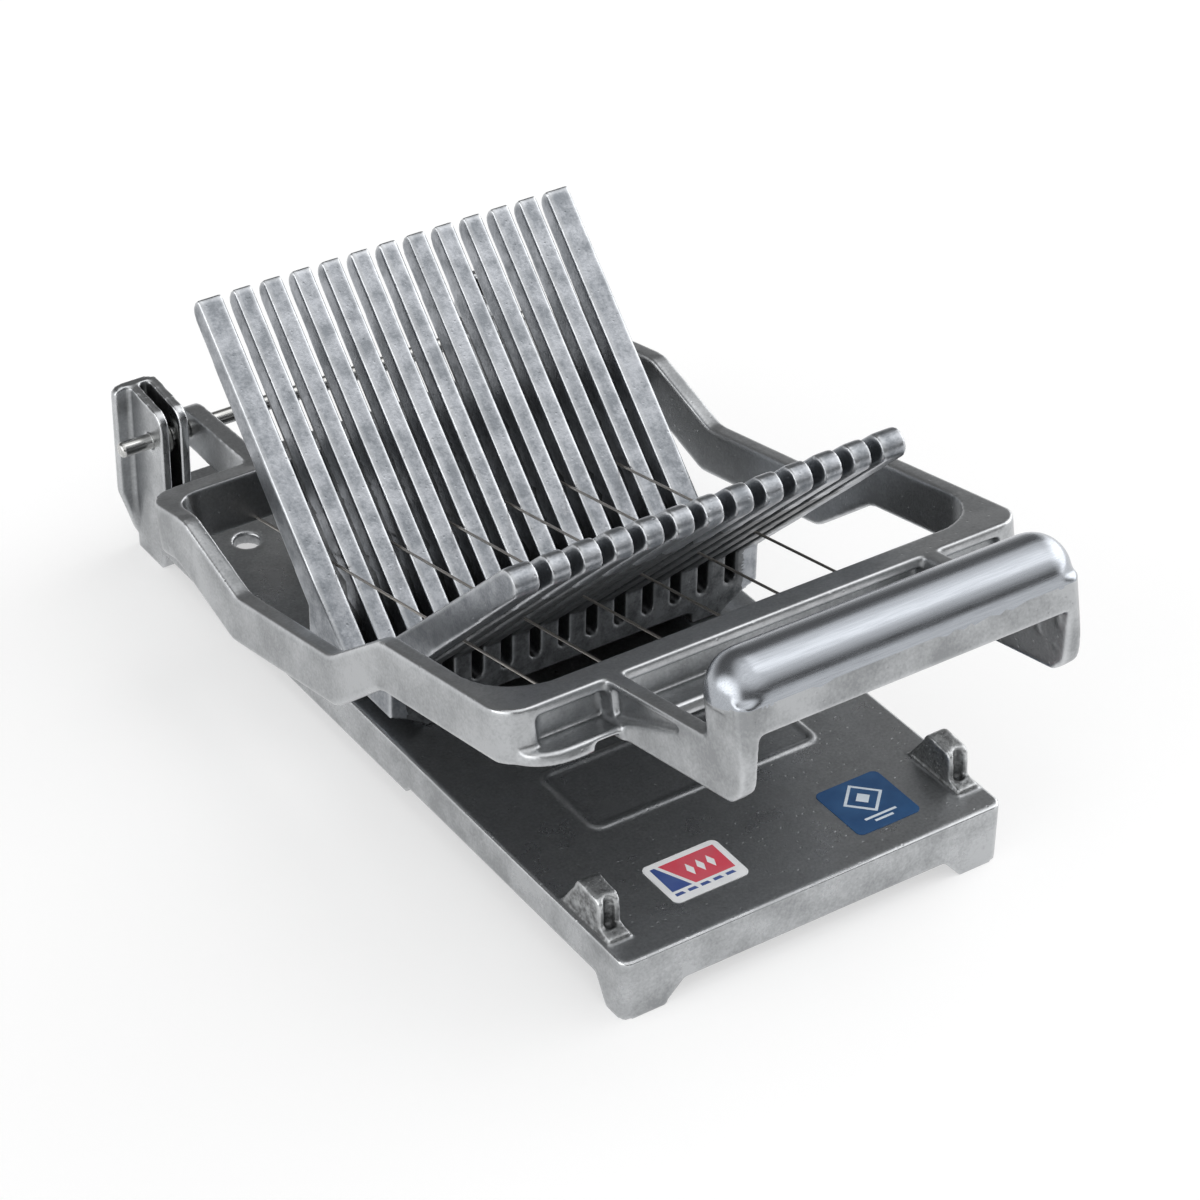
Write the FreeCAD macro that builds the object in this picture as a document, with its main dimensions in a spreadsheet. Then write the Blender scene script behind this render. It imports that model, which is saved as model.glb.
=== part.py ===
"""Countertop wire slicer: a cast base, a slotted V cradle and a hinged arm strung with wires.

Frame: millimetres, +X to the right of the person who uses it, +Y to the rear, +Z up.
The origin lies on the table, under the middle of the whole tool as it stands with its arm
raised. Inside a sub-part, y is counted from the base's front edge and z from the table.
Inside the arm, the origin is the hinge rod's axis, -Y points along the arm to its handle, and
the arm lies level there: its own placement turns it up to the raised pose.
"""
import FreeCAD
import Part
import math
import os

import Sketcher

SHEET_NAME = "Sizes"
# How far a cutting outline runs past what it cuts, in mm
OVERCUT = 1.0
# Share of a radius or width that rounds it almost fully and leaves a sliver of flat
NEAR_FULL = 0.98
NEAR_HALF = 0.45

# Driving sizes: name, value, meaning
SIZES = [
    ("origin_back", 114.6, "origin, behind the base's front edge"),
    ("base_width", 124.0, "base casting, side to side"),
    ("base_depth", 262.0, "base casting, front to rear"),
    ("base_height", 19.0, "top of the base plate above the table"),
    ("plate_wall", 4.0, "thickness of the base plate"),
    ("skirt_wall", 3.0, "thickness of the base's skirt"),
    ("skirt_front_lift", 6.5, "clear height under the front skirt"),
    ("skirt_side_lift", 8.0, "clear height under the side skirt, front stretch"),
    ("skirt_rear_lift", 6.0, "clear height under the side skirt, rear stretch"),
    ("skirt_step_back", 104.0, "where the side skirt steps, behind the front edge"),
    ("skirt_step_run", 2.0, "length of that step"),
    ("foot_width", 13.5, "sole of a foot, side to side"),
    ("foot_flare", 5.7, "how much wider a foot is at the skirt than at its sole"),
    ("foot_front_depth", 8.0, "sole of a front foot, front to rear"),
    ("foot_front_slope", 5.0, "slope behind a front foot"),
    ("foot_rear_depth", 17.0, "sole of a rear foot, front to rear"),
    ("foot_rear_slope", 2.0, "slope in front of a rear foot"),
    ("foot_block_margin", 2.0, "solid foot block behind a front foot's sole"),
    ("foot_arch_round", 3.0, "upper corners of the gap between the feet"),
    ("corner_radius", 3.0, "upright corners of the base"),
    ("fixing_spacing", 93.0, "table fixing holes, centre to centre"),
    ("fixing_back", 220.0, "table fixing holes, behind the front edge"),
    ("fixing_radius", 4.0, "table fixing holes"),
    ("plaque_width", 74.0, "raised blank border on the plate, side to side"),
    ("plaque_depth", 28.0, "raised blank border, front to rear"),
    ("plaque_back", 50.0, "raised blank border, behind the front edge"),
    ("plaque_rim", 1.2, "width of the raised border"),
    ("plaque_rise", 0.5, "height of the raised border"),
    ("plaque_corner", 3.0, "corners of the raised border"),
    ("post_edge", 1.6, "outer face of a rest post, in from the base's side"),
    ("post_width", 6.6, "rest post, side to side"),
    ("post_back", 14.0, "front face of a rest post, behind the front edge"),
    ("post_depth", 12.0, "rest post, front to rear"),
    ("post_rise", 11.3, "top of a rest post above the plate"),
    ("post_lip", 5.0, "low lip in front of a post"),
    ("post_lip_rise", 2.2, "height of the low lip"),
    ("post_lip_slope", 0.6, "fall of the low lip to the front"),
    ("post_tail", 5.5, "ramp behind a post"),
    ("post_shoulder", 3.4, "top of the ramp below the post's top"),
    ("post_top_inset", 1.5, "rear end of a post's top, in front of its rear face"),
    ("post_top_slope", 0.8, "fall of a post's top to the front"),
    ("post_round", 2.5, "rounding of a post's top"),
    ("post_foot_inset", 0.5, "front face of a post at its foot"),
    ("post_groove_radius", 1.7, "round groove down the front of a post"),
    ("hinge_from_rear", 13.5, "hinge axis, in front of the base's rear edge"),
    ("hinge_rise", 24.7, "hinge axis above the plate"),
    ("rod_radius", 2.38, "hinge rod"),
    ("rod_stick", 10.0, "how far the rod stands out past each bracket"),
    ("rod_end_round", 1.2, "rounding of the rod's ends"),
    ("rod_clearance", 0.05, "radial running clearance round the rod"),
    ("cheek_wall", 3.0, "wall of a hinge bracket's cheek"),
    ("cheek_gap", 3.3, "hollow between a bracket's two cheeks"),
    ("cheek_front", 7.5, "cheek in front of the hinge axis"),
    ("bracket_top", 11.3, "top of a cheek above the hinge axis"),
    ("bracket_round", 5.0, "rounded upper front corner of a cheek"),
    ("bracket_slope", 2.0, "rise of a cheek's top to the rear"),
    ("back_wall", 3.0, "wall across the back of a bracket"),
    ("back_offset", 0.6, "rear face of the cheeks' wall behind the base"),
    ("back_reach", 5.0, "how far that wall stands out past the base"),
    ("back_top", 13.3, "top of that wall above the hinge axis"),
    ("back_low", 2.0, "where that wall starts to taper in, above the plate"),
    ("back_foot", 5.0, "bottom of the taper above the table"),
    ("back_foot_width", 2.0, "width of the wall at the bottom of the taper"),
    ("back_taper_round", 6.0, "rounding where the taper starts"),
    ("back_corner", 3.0, "upper corners of that wall"),
    ("clip_radius", 5.0, "retaining clip on the rod"),
    ("clip_wall", 0.9, "thickness of a retaining clip"),
    ("clip_clearance", 0.02, "radial gap between a clip and the rod"),
    ("clip_mouth", 2.6, "open mouth of a retaining clip"),
    ("comb_angle", 45.0, "slope of both combs"),
    ("vee_back", 135.3, "bottom of the V, behind the front edge"),
    ("vee_rise", 11.85, "bottom of the V above the plate"),
    ("comb_rear_length", 110.7, "rear comb along its food side"),
    ("comb_front_length", 113.0, "front comb along its food side"),
    ("comb_root", 10.0, "depth of a comb's teeth at the V"),
    ("comb_rear_tip", 6.5, "depth of the rear comb's teeth at the top"),
    ("comb_front_tip", 8.4, "depth of the front comb's teeth at the tip"),
    ("comb_rear_round", 4.2, "rounded top of a rear tooth"),
    ("comb_food_round", 1.0, "food side of a rear tooth's top"),
    ("comb_front_round", 3.9, "rounded tip of a front tooth"),
    ("riser_half_depth", 21.8, "riser block, half its front to rear size"),
    ("slot_pitch", 9.525, "slot to slot"),
    ("slot_count", 12, "slots across the cradle"),
    ("slot_width", 3.6, "width of a slot"),
    ("slot_floor", 9.5, "bottom of the slots above the plate"),
    ("arch_rise", 4.0, "arch under the cradle"),
    ("arch_round", 2.0, "upper corners of the arch"),
    ("pad_inside", 39.5, "inner edge of a cradle foot, from the middle"),
    ("pad_outside", 50.0, "outer edge of a cradle foot, from the middle"),
    ("pad_chamfer", 1.0, "chamfer beside a cradle foot, side to side"),
    ("pad_chamfer_rise", 1.2, "height of that chamfer"),
    ("under_low", 4.6, "middle of the cradle's undercut end, height"),
    ("under_low_in", 5.6, "middle of the undercut end, in from the side"),
    ("under_high", 7.3, "outer edge of the undercut end, height"),
    ("screw_along", 28.6, "cradle screws, front to rear"),
    ("screw_radius", 2.0, "cradle screw shank"),
    ("screw_head_radius", 4.0, "cradle screw head"),
    ("screw_head_height", 2.6, "cradle screw head"),
    ("screw_bite", 8.0, "screw length inside the cradle"),
    ("screw_end_gap", 0.4, "tapped hole beyond the screw's end"),
    ("screw_clearance", 0.15, "radial clearance round a screw in the plate"),
    ("tapped_clearance", 0.05, "radial clearance round a screw in the cradle"),
    ("screw_slot", 1.1, "driver slot in a screw head"),
    ("raised_angle", 11.94, "arm above its closed position at rest"),
    ("wire_height", 10.7, "closed wires above the plate"),
    ("arm_gap", 15.5, "gap between the cradle and the arm's side wall"),
    ("arm_wall", 5.25, "side wall of the arm"),
    ("arm_start", 36.0, "rear face of the arm, from the rod"),
    ("arm_rear_wall", 8.0, "thickness of the arm's rear bar"),
    ("arm_height", 15.5, "height of the arm's walls"),
    ("arm_below", 1.5, "arm's lower edge below the wire plane"),
    ("dip_depth", 15.0, "how far the side walls step down"),
    ("dip_start", 59.0, "where the step down starts, from the rod"),
    ("dip_slope", 28.0, "length of the step down"),
    ("dip_flat", 51.0, "low stretch between the two slopes"),
    ("dip_rise", 30.0, "length of the step back up"),
    ("dip_lead", 7.0, "how much nearer the rod the lower edge turns down"),
    ("dip_lag", 3.0, "how much nearer the rod the lower edge is back up"),
    ("dip_round", 10.0, "rounding of the steps"),
    ("arm_corner", 9.0, "outer corners of the arm"),
    ("bar_back", 29.0, "rear face of the closed arm's front bar, behind the base's front"),
    ("opening_corner_front", 18.0, "front corners of the opening"),
    ("opening_corner_rear", 8.0, "rear corners of the opening"),
    ("bar_depth", 9.5, "front bar, front to rear"),
    ("bar_recess", 4.0, "depth of the channel in the bar's front face"),
    ("bar_ridge", 3.4, "height of the ridge above the channel"),
    ("channel_end", 9.5, "solid corner beyond each end of the channel"),
    ("channel_round", 3.0, "upright corners at the channel's ends"),
    ("flange_reach", 6.0, "lower flange in front of the bar"),
    ("flange_root", 8.0, "how far the lower flange reaches back under the bar"),
    ("flange_thick", 4.0, "thickness of the lower flange"),
    ("flange_side", 2.75, "end of the lower flange, in from the arm's side"),
    ("flange_corner", 12.0, "corners of the lower flange"),
    ("leg_outside", 52.5, "outer face of a handle leg, from the middle"),
    ("leg_wall", 5.0, "thickness of a handle leg"),
    ("leg_root", 2.0, "how far a leg runs into the bar behind the channel"),
    ("leg_notch_round", 1.5, "inner corner between a leg and the handle"),
    ("leg_rear_chamfer", 4.0, "rear upright corner of a leg under the handle"),
    ("leg_rib", 2.0, "height of the rib along a leg's upper edge"),
    ("leg_recess", 1.6, "depth of the recess below that rib"),
    ("leg_recess_drop", 8.0, "height of the recess at the bar"),
    ("leg_recess_end", 3.0, "front end of the recess, behind the handle"),
    ("finger_gap", 40.0, "space between the front bar and the handle"),
    ("handle_radius", 10.0, "rounded top of the handle"),
    ("handle_rise", 27.0, "centre of the rounding above the wire plane"),
    ("handle_under", 24.0, "underside of the handle above the wire plane"),
    ("handle_half_width", 54.0, "handle, half its width with the domed ends"),
    ("handle_skirt_wall", 3.0, "front skirt of the handle"),
    ("handle_skirt_low", 18.0, "lower edge of the skirt above the wire plane"),
    ("handle_inner_round", 1.0, "rounding under the handle"),
    ("leg_toe_back", 3.5, "lower front corner of a leg, behind the handle's front"),
    ("leg_toe_rise", 4.0, "height of that corner above the leg's lower edge"),
    ("leg_toe_round", 6.0, "rounding of that corner"),
    ("leg_heel_back", 9.0, "where a leg's lower edge turns up, behind the handle's front"),
    ("leg_heel_round", 3.6, "rounding of that turn"),
    ("lug_gap", 3.2, "gap between a lug and its bracket"),
    ("lug_wall", 6.0, "thickness of a lug"),
    ("lug_radius", 6.5, "lug round the rod"),
    ("lug_lean", 14.5, "where the lug's upper edge leaves its round end"),
    ("seat_clearance", 0.3, "gap over a rest post when the arm is closed"),
    ("seat_side_clearance", 0.5, "gap beside a rest post when the arm is closed"),
    ("wire_radius", 0.4, "slicing wire"),
    ("wire_count", 6, "slicing wires"),
    ("wire_hole_radius", 0.7, "wire hole in the arm"),
    ("ferrule_radius", 1.1, "crimped ferrule on a wire's end"),
    ("ferrule_length", 4.0, "crimped ferrule on a wire's end"),
    ("ferrule_clearance", 0.2, "gap round a ferrule in its pocket"),
    ("ferrule_web", 1.6, "casting between a ferrule's pocket and the opening"),
    ("label_left_width", 24.0, "left label"),
    ("label_left_depth", 17.0, "left label"),
    ("label_left_aside", 24.6, "left label's centre, left of the middle"),
    ("label_left_back", 21.5, "left label's centre, behind the front edge"),
    ("label_right_width", 21.0, "right label"),
    ("label_right_depth", 21.0, "right label"),
    ("label_right_aside", 31.2, "right label's centre, right of the middle"),
    ("label_right_back", 20.0, "right label's centre, behind the front edge"),
    ("label_thick", 0.2, "thickness of a label"),
    ("label_corner", 2.0, "corners of a label"),
]


class Size:
    """A number together with the sheet formula that gives it."""

    def __init__(self, value, text):
        self.value = float(value)
        self.text = text

    def combine(self, other, sign, result):
        return Size(result, f"({self.text} {sign} {as_size(other).text})")

    def __add__(self, other):
        return self.combine(other, "+", self.value + as_size(other).value)

    def __radd__(self, other):
        return as_size(other) + self

    def __sub__(self, other):
        return self.combine(other, "-", self.value - as_size(other).value)

    def __rsub__(self, other):
        return as_size(other) - self

    def __mul__(self, other):
        return self.combine(other, "*", self.value * as_size(other).value)

    def __rmul__(self, other):
        return as_size(other) * self

    def __truediv__(self, other):
        return self.combine(other, "/", self.value / as_size(other).value)

    def __neg__(self):
        return Size(-self.value, f"(0 - {self.text})")


def as_size(number):
    """A Size made from a Size or a plain number."""
    if isinstance(number, Size):
        return number
    return Size(number, repr(float(number)))


def cosine(angle):
    return Size(math.cos(math.radians(angle.value)), f"cos({angle.text})")


def sine(angle):
    return Size(math.sin(math.radians(angle.value)), f"sin({angle.text})")


def tangent(angle):
    return sine(angle) / cosine(angle)


def make_sheet(doc):
    """Write the driving sizes into the sheet, and return them as an object with named values."""
    sheet = doc.addObject("Spreadsheet::Sheet", SHEET_NAME)

    class Named:
        pass

    named = Named()
    for row, (name, value, meaning) in enumerate(SIZES, start=1):
        sheet.set(f"A{row}", str(value))
        sheet.setAlias(f"A{row}", name)
        sheet.set(f"B{row}", meaning)
        setattr(named, name, Size(value, f"{SHEET_NAME}.{name}"))
    doc.recompute()
    return named


def work_out(s):
    """Add the sizes that follow from the driving ones."""
    s.half_width = s.base_width / 2
    s.hinge_back = s.base_depth - s.hinge_from_rear
    s.axis_height = s.base_height + s.hinge_rise
    s.rod_length = s.base_width + 2 * s.rod_stick
    s.bracket_inside = s.half_width - 2 * s.cheek_wall - s.cheek_gap
    s.lug_outside = s.bracket_inside - s.lug_gap
    s.post_inside = s.half_width - s.post_edge - s.post_width
    s.screw_aside = (s.pad_inside + s.pad_outside) / 2
    s.wire_drop = s.hinge_rise - s.wire_height
    s.arm_width = s.base_width + 2 * (s.arm_gap + s.arm_wall)
    s.opening_end = s.hinge_back - s.bar_back
    s.bar_front = s.opening_end + s.bar_depth
    s.flange_front = s.bar_front + s.flange_reach
    s.handle_rear = s.bar_front + s.finger_gap
    s.handle_front = s.handle_rear + 2 * s.handle_radius


def bind(target, path, size):
    """Bind one property to the sheet."""
    target.setExpression(path, as_size(size).text)


def new_body(doc, name):
    body = doc.addObject("PartDesign::Body", name)
    body.Label = name
    return body


def origin_item(body, role):
    """The body's own plane or axis with this role."""
    return next(item for item in body.Origin.OriginFeatures if item.Role == role)


def new_sketch(body, name, plane, lift=0):
    """Sketch on one of the body's planes, lifted along the plane's normal."""
    sketch = body.newObject("Sketcher::SketchObject", name)
    sketch.AttachmentSupport = [(origin_item(body, plane), "")]
    sketch.MapMode = "FlatFace"
    bind(sketch, "AttachmentOffset.Base.z", lift)
    return sketch


def fix_value(sketch, kind, first, first_end, second, second_end, size):
    """Add a distance constraint between two points and bind it."""
    size = as_size(size)
    rule = Sketcher.Constraint(kind, first, first_end, second, second_end, size.value)
    index = sketch.addConstraint(rule)
    bind(sketch, f"Constraints[{index}]", size)


def fix_point(sketch, shape, end, x, y):
    """Hold one point at x, y from the sketch's origin."""
    fix_value(sketch, "DistanceX", -1, 1, shape, end, x)
    fix_value(sketch, "DistanceY", -1, 1, shape, end, y)


def add_loop(sketch, corners):
    """Closed loop through corners. A corner is x, y or x, y, radius."""
    places = [FreeCAD.Vector(as_size(c[0]).value, as_size(c[1]).value, 0) for c in corners]
    count = len(corners)
    trims = []
    for index, corner in enumerate(corners):
        here = places[index]
        back = (places[index - 1] - here).normalize()
        ahead = (places[(index + 1) % count] - here).normalize()
        reach = 0.0
        if len(corner) == 3:
            reach = as_size(corner[2]).value / math.tan(back.getAngle(ahead) / 2)
        trims.append((here + back * reach, here + ahead * reach, back, ahead))
    lines = []
    for index in range(count):
        run = Part.LineSegment(trims[index][1], trims[(index + 1) % count][0])
        lines.append(sketch.addGeometry(run))
    for index, corner in enumerate(corners):
        arriving = lines[index - 1]
        leaving = lines[index]
        if len(corner) == 2:
            sketch.addConstraint(Sketcher.Constraint("Coincident", arriving, 2, leaving, 1))
            fix_point(sketch, leaving, 1, corner[0], corner[1])
        else:
            add_round_corner(sketch, corner, places[index], trims[index], arriving, leaving)


def add_round_corner(sketch, corner, here, trim, arriving, leaving):
    """Arc tangent to two lines whose meeting point is held at the corner."""
    start, finish, back, ahead = trim
    radius = as_size(corner[2])
    middle = (back + ahead).normalize()
    centre = here + middle * (radius.value / math.sin(back.getAngle(ahead) / 2))
    turns_left = (back * -1).cross(ahead).z > 0
    first, last = (start, finish) if turns_left else (finish, start)
    first_angle = math.atan2(first.y - centre.y, first.x - centre.x)
    last_angle = math.atan2(last.y - centre.y, last.x - centre.x)
    circle = Part.Circle(centre, FreeCAD.Vector(0, 0, 1), radius.value)
    arc = sketch.addGeometry(Part.ArcOfCircle(circle, first_angle, last_angle))
    arriving_end, leaving_end = (1, 2) if turns_left else (2, 1)
    sketch.addConstraint(Sketcher.Constraint("Tangent", arriving, 2, arc, arriving_end))
    sketch.addConstraint(Sketcher.Constraint("Tangent", leaving, 1, arc, leaving_end))
    index = sketch.addConstraint(Sketcher.Constraint("Radius", arc, radius.value))
    bind(sketch, f"Constraints[{index}]", radius)
    mark = sketch.addGeometry(Part.Point(here), True)
    fix_point(sketch, mark, 1, corner[0], corner[1])
    sketch.addConstraint(Sketcher.Constraint("PointOnObject", mark, 1, arriving))
    sketch.addConstraint(Sketcher.Constraint("PointOnObject", mark, 1, leaving))


def add_circle(sketch, x, y, radius):
    centre = FreeCAD.Vector(as_size(x).value, as_size(y).value, 0)
    circle = Part.Circle(centre, FreeCAD.Vector(0, 0, 1), as_size(radius).value)
    shape = sketch.addGeometry(circle)
    index = sketch.addConstraint(Sketcher.Constraint("Radius", shape, as_size(radius).value))
    bind(sketch, f"Constraints[{index}]", radius)
    fix_point(sketch, shape, 3, x, y)


def box_corners(low_x, low_y, high_x, high_y, radius=None):
    """Four corners of a rectangle, counter-clockwise, all with one rounding if it is given."""
    corners = [(low_x, low_y), (high_x, low_y), (high_x, high_y), (low_x, high_y)]
    if radius is None:
        return corners
    return [(x, y, radius) for x, y in corners]


def outline(body, name, plane, corners, lift=0):
    sketch = new_sketch(body, name, plane, lift)
    add_loop(sketch, corners)
    return sketch


def volume_of(body):
    return body.Shape.Volume if body.Shape.Solids else 0.0


def extrude(body, kind, name, sketch, length, symmetric=False, backwards=False):
    """Pad or pocket a sketch, and make sure that it added or removed something."""
    before = volume_of(body)
    feature = body.newObject(f"PartDesign::{kind}", name)
    feature.Profile = sketch
    feature.SideType = "Symmetric" if symmetric else "One side"
    feature.Reversed = backwards
    bind(feature, "Length", length)
    body.Tip = feature
    body.Document.recompute()
    change = volume_of(body) - before
    if (kind == "Pad") != (change > 0) or abs(change) < 1e-3:
        raise ValueError(f"{body.Label}: {name} changed the volume by {change:.4f}")
    return feature


def mirror(body, name, features):
    """Repeat features on the other side of the middle plane."""
    copy = body.newObject("PartDesign::Mirrored", name)
    copy.Originals = features
    copy.MirrorPlane = (origin_item(body, "YZ_Plane"), [""])
    body.Tip = copy
    body.Document.recompute()
    return copy


def repeat(body, name, features, role, length, count):
    """Repeat features in a row along one of the body's axes."""
    row = body.newObject("PartDesign::LinearPattern", name)
    row.Originals = features
    row.Direction = (origin_item(body, role), [""])
    bind(row, "Length", length)
    bind(row, "Occurrences", count)
    body.Tip = row
    body.Document.recompute()
    return row


def round_edges(body, name, radius, wanted):
    """Fillet the edges of the body's present shape that the test accepts."""
    tip = body.Tip
    names = [f"Edge{i}" for i, edge in enumerate(tip.Shape.Edges, start=1) if wanted(edge)]
    if not names:
        raise ValueError(f"{body.Label}: {name} found no edge")
    fillet = body.newObject("PartDesign::Fillet", name)
    fillet.Base = (tip, names)
    bind(fillet, "Radius", radius)
    body.Tip = fillet
    body.Document.recompute()
    return fillet


def upright_at(x, y, near=0.01):
    """Test for straight upright edges at plus or minus x and at y."""

    def wanted(edge):
        box = edge.BoundBox
        thin = box.XLength < near and box.YLength < near and box.ZLength > near
        return thin and abs(abs(box.XMin) - x.value) < near and abs(box.YMin - y.value) < near

    return wanted


def place_on_base(item, s):
    """Move a sub-part that is drawn from the base's front edge into the model's frame."""
    bind(item, "Placement.Base.y", -s.origin_back)


def make_base(doc, s):
    """Base casting: plate, skirt, feet, rest posts and the two hinge brackets."""
    body = new_body(doc, "base_casting")
    half = s.half_width
    side = outline(body, "base_side", "YZ_Plane", [
        (0, 0),
        (s.foot_front_depth, 0),
        (s.foot_front_depth + s.foot_front_slope, s.skirt_side_lift),
        (s.skirt_step_back, s.skirt_side_lift),
        (s.skirt_step_back + s.skirt_step_run, s.skirt_rear_lift),
        (s.base_depth - s.foot_rear_depth - s.foot_rear_slope, s.skirt_rear_lift),
        (s.base_depth - s.foot_rear_depth, 0),
        (s.base_depth, 0),
        (s.base_depth, s.base_height),
        (0, s.base_height),
    ])
    extrude(body, "Pad", "block", side, s.base_width, symmetric=True)

    sole = half - s.foot_width
    root = sole - s.foot_flare
    arch = outline(body, "arch_front", "XZ_Plane", [
        (-sole, -OVERCUT),
        (sole, -OVERCUT),
        (sole, 0),
        (root, s.skirt_front_lift, s.foot_arch_round),
        (-root, s.skirt_front_lift, s.foot_arch_round),
        (-sole, 0),
    ], lift=-s.base_depth / 2)
    extrude(body, "Pocket", "foot_arch", arch, s.base_depth + 2 * OVERCUT, symmetric=True)
    round_edges(body, "corners", s.corner_radius, lambda edge: any(
        upright_at(half, y)(edge) for y in (as_size(0), s.base_depth)))

    inside = half - s.skirt_wall
    block = half - s.foot_width - s.foot_flare / 2
    front = s.skirt_wall
    front_block = s.foot_front_depth + s.foot_block_margin
    rear_block = s.base_depth - s.foot_rear_depth
    rear = s.base_depth - s.skirt_wall
    hollow = outline(body, "hollow_plan", "XY_Plane", [
        (-block, front), (block, front), (block, front_block), (inside, front_block),
        (inside, rear_block), (block, rear_block), (block, rear), (-block, rear),
        (-block, rear_block), (-inside, rear_block), (-inside, front_block),
        (-block, front_block),
    ])
    depth = s.base_height - s.plate_wall
    extrude(body, "Pocket", "hollow", hollow, depth, backwards=True)

    plaque = new_sketch(body, "plaque_plan", "XY_Plane", s.base_height)
    wide = s.plaque_width / 2
    far = s.plaque_back + s.plaque_depth
    add_loop(plaque, box_corners(-wide, s.plaque_back, wide, far, s.plaque_corner))
    rim = s.plaque_rim
    add_loop(plaque, box_corners(rim - wide, s.plaque_back + rim, wide - rim, far - rim,
                                 s.plaque_corner - rim))
    extrude(body, "Pad", "plaque", plaque, s.plaque_rise)

    make_posts(body, s)
    make_brackets(body, s)

    holes = new_sketch(body, "fixing_plan", "XY_Plane", s.base_height + OVERCUT)
    for side_sign in (-1, 1):
        add_circle(holes, side_sign * s.fixing_spacing / 2, s.fixing_back, s.fixing_radius)
        for row_sign in (-1, 1):
            along = s.vee_back + row_sign * s.screw_along / 2
            radius = s.screw_radius + s.screw_clearance
            add_circle(holes, side_sign * s.screw_aside, along, radius)
    extrude(body, "Pocket", "fixings", holes, s.plate_wall + 2 * OVERCUT)
    place_on_base(body, s)
    return body


def make_posts(body, s):
    """Two low saddles near the front corners, on which the closed arm comes to rest."""
    plate = s.base_height
    sunk = plate - s.plate_wall / 2
    top = plate + s.post_rise
    rear = s.post_back + s.post_depth
    lip = plate + s.post_lip_rise
    side = outline(body, "post_side", "YZ_Plane", [
        (s.post_back - s.post_lip, sunk),
        (rear + s.post_tail, sunk),
        (rear + s.post_tail, plate),
        (rear, top - s.post_shoulder, s.post_round),
        (rear - s.post_top_inset, top, s.post_round),
        (s.post_back, top - s.post_top_slope, s.post_round),
        (s.post_back - s.post_foot_inset, lip, s.post_lip_slope),
        (s.post_back - s.post_lip, lip - s.post_lip_slope),
    ], lift=s.post_inside)
    post = extrude(body, "Pad", "post", side, s.post_width)
    groove = new_sketch(body, "post_groove_plan", "XY_Plane", top + OVERCUT)
    add_circle(groove, s.post_inside + s.post_width / 2, s.post_back, s.post_groove_radius)
    cut = extrude(body, "Pocket", "post_groove", groove, s.post_rise)
    mirror(body, "post_pair", [post, cut])


def make_brackets(body, s):
    """Two hinge brackets at the rear corners: two cheeks each, with a wall across the back."""
    half = s.half_width
    plate = s.base_height
    sunk = plate - s.plate_wall / 2
    rear = s.base_depth + s.back_offset
    joined = rear - s.back_wall / 2
    cheek_top = s.axis_height + s.bracket_top
    front = s.hinge_back - s.cheek_front
    outer = half - s.cheek_wall
    inner = s.bracket_inside
    corners = [
        (front, sunk),
        (joined, sunk),
        (joined, cheek_top + s.bracket_slope),
        (front, cheek_top, s.bracket_round),
    ]
    pads = []
    for name, start in (("outer", outer), ("inner", inner)):
        side = outline(body, f"cheek_{name}_side", "YZ_Plane", corners, lift=start)
        pads.append(extrude(body, "Pad", f"cheek_{name}", side, s.cheek_wall))
    reach = half + s.back_reach
    wall = outline(body, "bracket_wall_face", "XZ_Plane", [
        (inner, sunk),
        (half - s.back_foot_width, s.back_foot),
        (half, s.back_foot),
        (reach, plate + s.back_low, s.back_taper_round),
        (reach, s.axis_height + s.back_top, s.back_corner),
        (inner, s.axis_height + s.back_top, s.back_corner),
    ], lift=-rear)
    pads.append(extrude(body, "Pad", "bracket_wall", wall, s.back_wall))
    bore = new_sketch(body, "bracket_bore_side", "YZ_Plane", inner - OVERCUT)
    add_circle(bore, s.hinge_back, s.axis_height, s.rod_radius + s.rod_clearance)
    width = half - inner + 2 * OVERCUT
    cut = extrude(body, "Pocket", "bracket_bore", bore, width, backwards=True)
    mirror(body, "bracket_pair", pads + [cut])


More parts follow.
